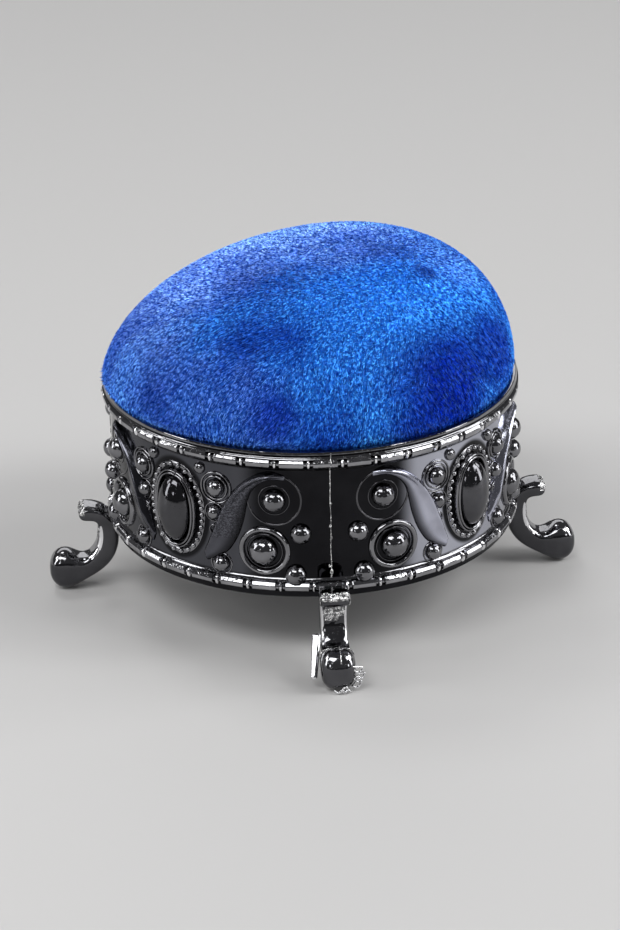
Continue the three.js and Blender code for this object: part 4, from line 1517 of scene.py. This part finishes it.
def pile_nodes(tuft):
    """Geometry nodes that scatter tufts over the dome above the lip and lean them along the nap."""
    form = cushion_sizes()
    tree = bpy.data.node_groups.new("velvet_pile", "GeometryNodeTree")
    tree.interface.new_socket("Geometry", in_out="INPUT", socket_type="NodeSocketGeometry")
    tree.interface.new_socket("Geometry", in_out="OUTPUT", socket_type="NodeSocketGeometry")
    nodes, links = tree.nodes, tree.links

    def vector(operation, first, second=None, scale=None):
        node = nodes.new("ShaderNodeVectorMath")
        node.operation = operation
        for socket, value in ((node.inputs[0], first), (node.inputs[1], second)):
            if isinstance(value, bpy.types.NodeSocket):
                links.new(value, socket)
            elif value is not None:
                socket.default_value = value
        if isinstance(scale, bpy.types.NodeSocket):
            links.new(scale, node.inputs["Scale"])
        elif scale is not None:
            node.inputs["Scale"].default_value = scale
        return node.outputs["Value"] if operation == "DOT_PRODUCT" else node.outputs["Vector"]

    def wander(scale, detail=1.0):
        node = nodes.new("ShaderNodeTexNoise")
        set_sockets(node, {"Scale": scale, "Detail": detail})
        return vector("SUBTRACT", node.outputs["Color"], (0.5, 0.5, 0.5))

    given = nodes.new("NodeGroupInput")
    made = nodes.new("NodeGroupOutput")
    scatter = nodes.new("GeometryNodeDistributePointsOnFaces")
    scatter.distribute_method = "RANDOM"
    set_sockets(scatter, {"Density": form.pile_per_mm2 / MM**2, "Seed": SCATTER_SEED})
    links.new(given.outputs[0], scatter.inputs["Mesh"])

    normal = scatter.outputs["Normal"]
    broad = vector("SCALE", wander(BROAD_SCALE), scale=BROAD_SWAY)
    place = nodes.new("GeometryNodeInputPosition").outputs["Position"]
    rightwards = nodes.new("ShaderNodeSeparateXYZ")
    links.new(place, rightwards.inputs[0])
    tousled = nodes.new("ShaderNodeMapRange")
    set_sockets(tousled, {"From Min": COMBED_UP_TO, "From Max": TOUSLED_FROM})
    set_sockets(tousled, {"To Min": COMBED_SWAY, "To Max": TOUSLED_SWAY})
    links.new(rightwards.outputs["X"], tousled.inputs["Value"])
    fine = vector("SCALE", wander(FINE_SCALE), scale=tousled.outputs["Result"])
    combed = vector("ADD", vector("MULTIPLY", place, AWAY_FROM_MIDDLE), COMBED)
    comb = vector("ADD", vector("ADD", broad, fine), combed)
    standing = vector("SCALE", normal, scale=vector("DOT_PRODUCT", comb, normal))
    lying = vector("NORMALIZE", vector("SUBTRACT", comb, standing))
    lean = vector("ADD", vector("SCALE", normal, scale=UPRIGHT), vector("SCALE", lying, scale=LYING))

    turn = nodes.new("FunctionNodeAlignRotationToVector")
    turn.axis = "Z"
    links.new(lean, turn.inputs["Vector"])
    grow = nodes.new("FunctionNodeRandomValue")
    grow.data_type = "FLOAT"
    for socket, size in zip(grow.inputs[2:4], TUFT_SIZES):
        socket.default_value = size
    plant = nodes.new("GeometryNodeInstanceOnPoints")
    source = nodes.new("GeometryNodeObjectInfo")
    source.inputs["Object"].default_value = tuft
    links.new(scatter.outputs["Points"], plant.inputs["Points"])
    links.new(source.outputs["Geometry"], plant.inputs["Instance"])
    links.new(turn.outputs[0], plant.inputs["Rotation"])
    links.new(grow.outputs[1], plant.inputs["Scale"])

    shade = nodes.new("FunctionNodeRandomValue")
    shade.data_type = "FLOAT"
    shade.inputs["Seed"].default_value = SHADE_SEED
    keep = nodes.new("GeometryNodeStoreNamedAttribute")
    keep.data_type = "FLOAT"
    keep.domain = "INSTANCE"
    keep.inputs["Name"].default_value = "tuft_shade"
    links.new(plant.outputs[0], keep.inputs["Geometry"])
    links.new(shade.outputs[1], keep.inputs["Value"])
    real = nodes.new("GeometryNodeRealizeInstances")
    links.new(keep.outputs[0], real.inputs["Geometry"])
    links.new(real.outputs[0], made.inputs[0])
    return tree


class PINCUSHION_OT_inner_pieces(Operator):
    """Gives the felt, card, thread and glue their finishes"""

    bl_idname = "pincushion.inner_pieces"
    bl_label = "Inner Pieces"

    def execute(self, context):
        paint = finishes()
        finish = {
            "underside_felt": fibrous("felt", tuple(paint.felt), 1800.0, 0.45),
            "backing_card": fibrous("backing_board", tuple(paint.card), 700.0, 0.15),
            "gathering_thread": fibrous("cotton_thread", tuple(paint.thread), 2500.0, 0.3),
            "glue_bead": fibrous("dried_glue", tuple(paint.glue), 300.0, 0.1, 0.35),
        }
        for name, material in finish.items():
            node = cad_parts[name]
            node.data.materials.clear()
            node.data.materials.append(material)
        return {"FINISHED"}


class PINCUSHION_OT_stage(Operator):
    """Sets the camera, the soft boxes and the pale floor"""

    bl_idname = "pincushion.stage"
    bl_label = "Stage"

    # the camera looks at the middle of the ring's foot, from angles in degrees and a distance in metres,
    # and is moved sideways and up by the shifts
    ELEVATION = 24.27
    AZIMUTH = -4.44
    DISTANCE = 0.5994
    RIGHT_SHIFT = -0.000333
    UP_SHIFT = 0.020575
    ROLL = -1.19
    LENS = 119.7
    SENSOR = 36.0
    AIM = (0, 0, 0.035)  # where the lamps point
    # place, and size across and up, in metres, and power in watts
    LAMPS = {
        "soft_box_behind": ((-0.25, 0.5, 0.85), (0.25, 0.25), 1.2),
        "soft_box_low_behind": ((-0.1, 1.25, 0.62), (1.5, 0.36), 2.6),
        "soft_box_front_left": ((-0.34, -0.48, 0.81), (0.68, 0.3), 3.9),
        "soft_box_front_right": ((0.64, -0.3, 0.71), (0.42, 0.32), 2.8),
        "spot_front_left": ((-0.5, -0.75, 0.28), (0.12, 0.12), 0.25),
        "spot_front_right": ((0.62, -0.7, 0.22), (0.12, 0.12), 0.25),
        "strip_behind_left": ((-0.84, 0.2, 0.6), (0.22, 0.32), 1.15),
        "strip_behind_right": ((0.84, 0.16, 0.55), (0.26, 0.36), 1.5),
        "soft_box_right": ((0.9, -0.2, 0.35), (0.3, 0.65), 3.4),
        "soft_box_left": ((-0.92, -0.17, 0.35), (0.25, 0.55), 2.6),
    }
    FLOOR_SIZE = 8.0
    WORLD = {"Color": (0.5, 0.5, 0.52, 1.0), "Strength": 0.2}

    def camera(self):
        """Sets the camera at the photograph's angle."""
        turn, rise = math.radians(self.AZIMUTH), math.radians(self.ELEVATION)
        back = Vector((math.sin(turn) * math.cos(rise), -math.cos(turn) * math.cos(rise), math.sin(rise)))
        right = Vector((math.cos(turn), math.sin(turn), 0.0))
        up = back.cross(right)
        bpy.ops.object.camera_add()
        camera = bpy.context.object
        camera.name = "camera"
        place = back * self.DISTANCE + right * self.RIGHT_SHIFT + up * self.UP_SHIFT
        camera.matrix_world = (
            Matrix.Translation(place)
            @ Matrix((right, up, back)).transposed().to_4x4()
            @ Matrix.Rotation(math.radians(self.ROLL), 4, "Z")
        )
        camera.data.lens = self.LENS
        camera.data.sensor_width = self.SENSOR
        camera.data.sensor_fit = "AUTO"
        camera.data.clip_start = 0.01
        camera.data.clip_end = 20.0
        bpy.context.scene.camera = camera

    def soft_box(self, name, place, size, power):
        """A rectangular lamp that faces the cushion."""
        bpy.ops.object.light_add(type="AREA", location=place)
        lamp = bpy.context.object
        lamp.name = name
        lamp.data.shape = "RECTANGLE"
        lamp.data.size, lamp.data.size_y = size
        lamp.data.energy = power
        aim = Vector(self.AIM) - Vector(place)
        lamp.rotation_euler = aim.to_track_quat("-Z", "Y").to_euler()

    def execute(self, context):
        self.camera()
        for name, lamp in self.LAMPS.items():
            self.soft_box(name, *lamp)
        bpy.ops.mesh.primitive_plane_add(size=self.FLOOR_SIZE, location=(0, 0, 0))
        floor = bpy.context.object
        floor.name = "floor"
        material, _, shader = new_material("pale_floor")
        set_sockets(shader, {"Base Color": finishes().floor, "Roughness": 0.6})
        floor.data.materials.append(material)
        world = bpy.data.worlds.new("studio")
        world.use_nodes = True
        set_sockets(world.node_tree.nodes["Background"], self.WORLD)
        context.scene.world = world
        context.scene.view_settings.view_transform = "Standard"
        return {"FINISHED"}


OPERATORS = (
    PINCUSHION_OT_stage,
    PINCUSHION_OT_ring_wall,
    PINCUSHION_OT_bead_rows,
    PINCUSHION_OT_pearls,
    PINCUSHION_OT_leaves,
    PINCUSHION_OT_cabochons,
    PINCUSHION_OT_seams,
    PINCUSHION_OT_feet,
    PINCUSHION_OT_cushion,
    PINCUSHION_OT_inner_pieces,
)


class PINCUSHION_PT_panel(Panel):
    """Lists the pieces and their sizes"""

    bl_label = "Pincushion"
    bl_idname = "PINCUSHION_PT_panel"
    bl_space_type = "VIEW_3D"
    bl_region_type = "UI"
    bl_category = "Pincushion"

    def draw(self, context):
        layout = self.layout
        for operator in OPERATORS:
            layout.operator(operator.bl_idname)
        scene = context.scene
        for group in (scene.pincushion_ring, scene.pincushion_cushion, scene.pincushion_finish):
            box = layout.box()
            for name in group.__annotations__:
                box.prop(group, name)


CLASSES = (
    PincushionRingSizes,
    PincushionCushionSizes,
    PincushionFinish,
    *OPERATORS,
    PINCUSHION_PT_panel,
)


def register():
    for each in CLASSES:
        bpy.utils.register_class(each)
    bpy.types.Scene.pincushion_ring = PointerProperty(type=PincushionRingSizes)
    bpy.types.Scene.pincushion_cushion = PointerProperty(type=PincushionCushionSizes)
    bpy.types.Scene.pincushion_finish = PointerProperty(type=PincushionFinish)


def unregister():
    del bpy.types.Scene.pincushion_finish
    del bpy.types.Scene.pincushion_cushion
    del bpy.types.Scene.pincushion_ring
    for each in reversed(CLASSES):
        bpy.utils.unregister_class(each)


def main():
    """Builds every piece in order."""
    register()
    bpy.ops.object.select_all(action="DESELECT")
    for operator in OPERATORS:
        group, name = operator.bl_idname.split(".")
        getattr(getattr(bpy.ops, group), name)()


if __name__ == "__main__":
    main()
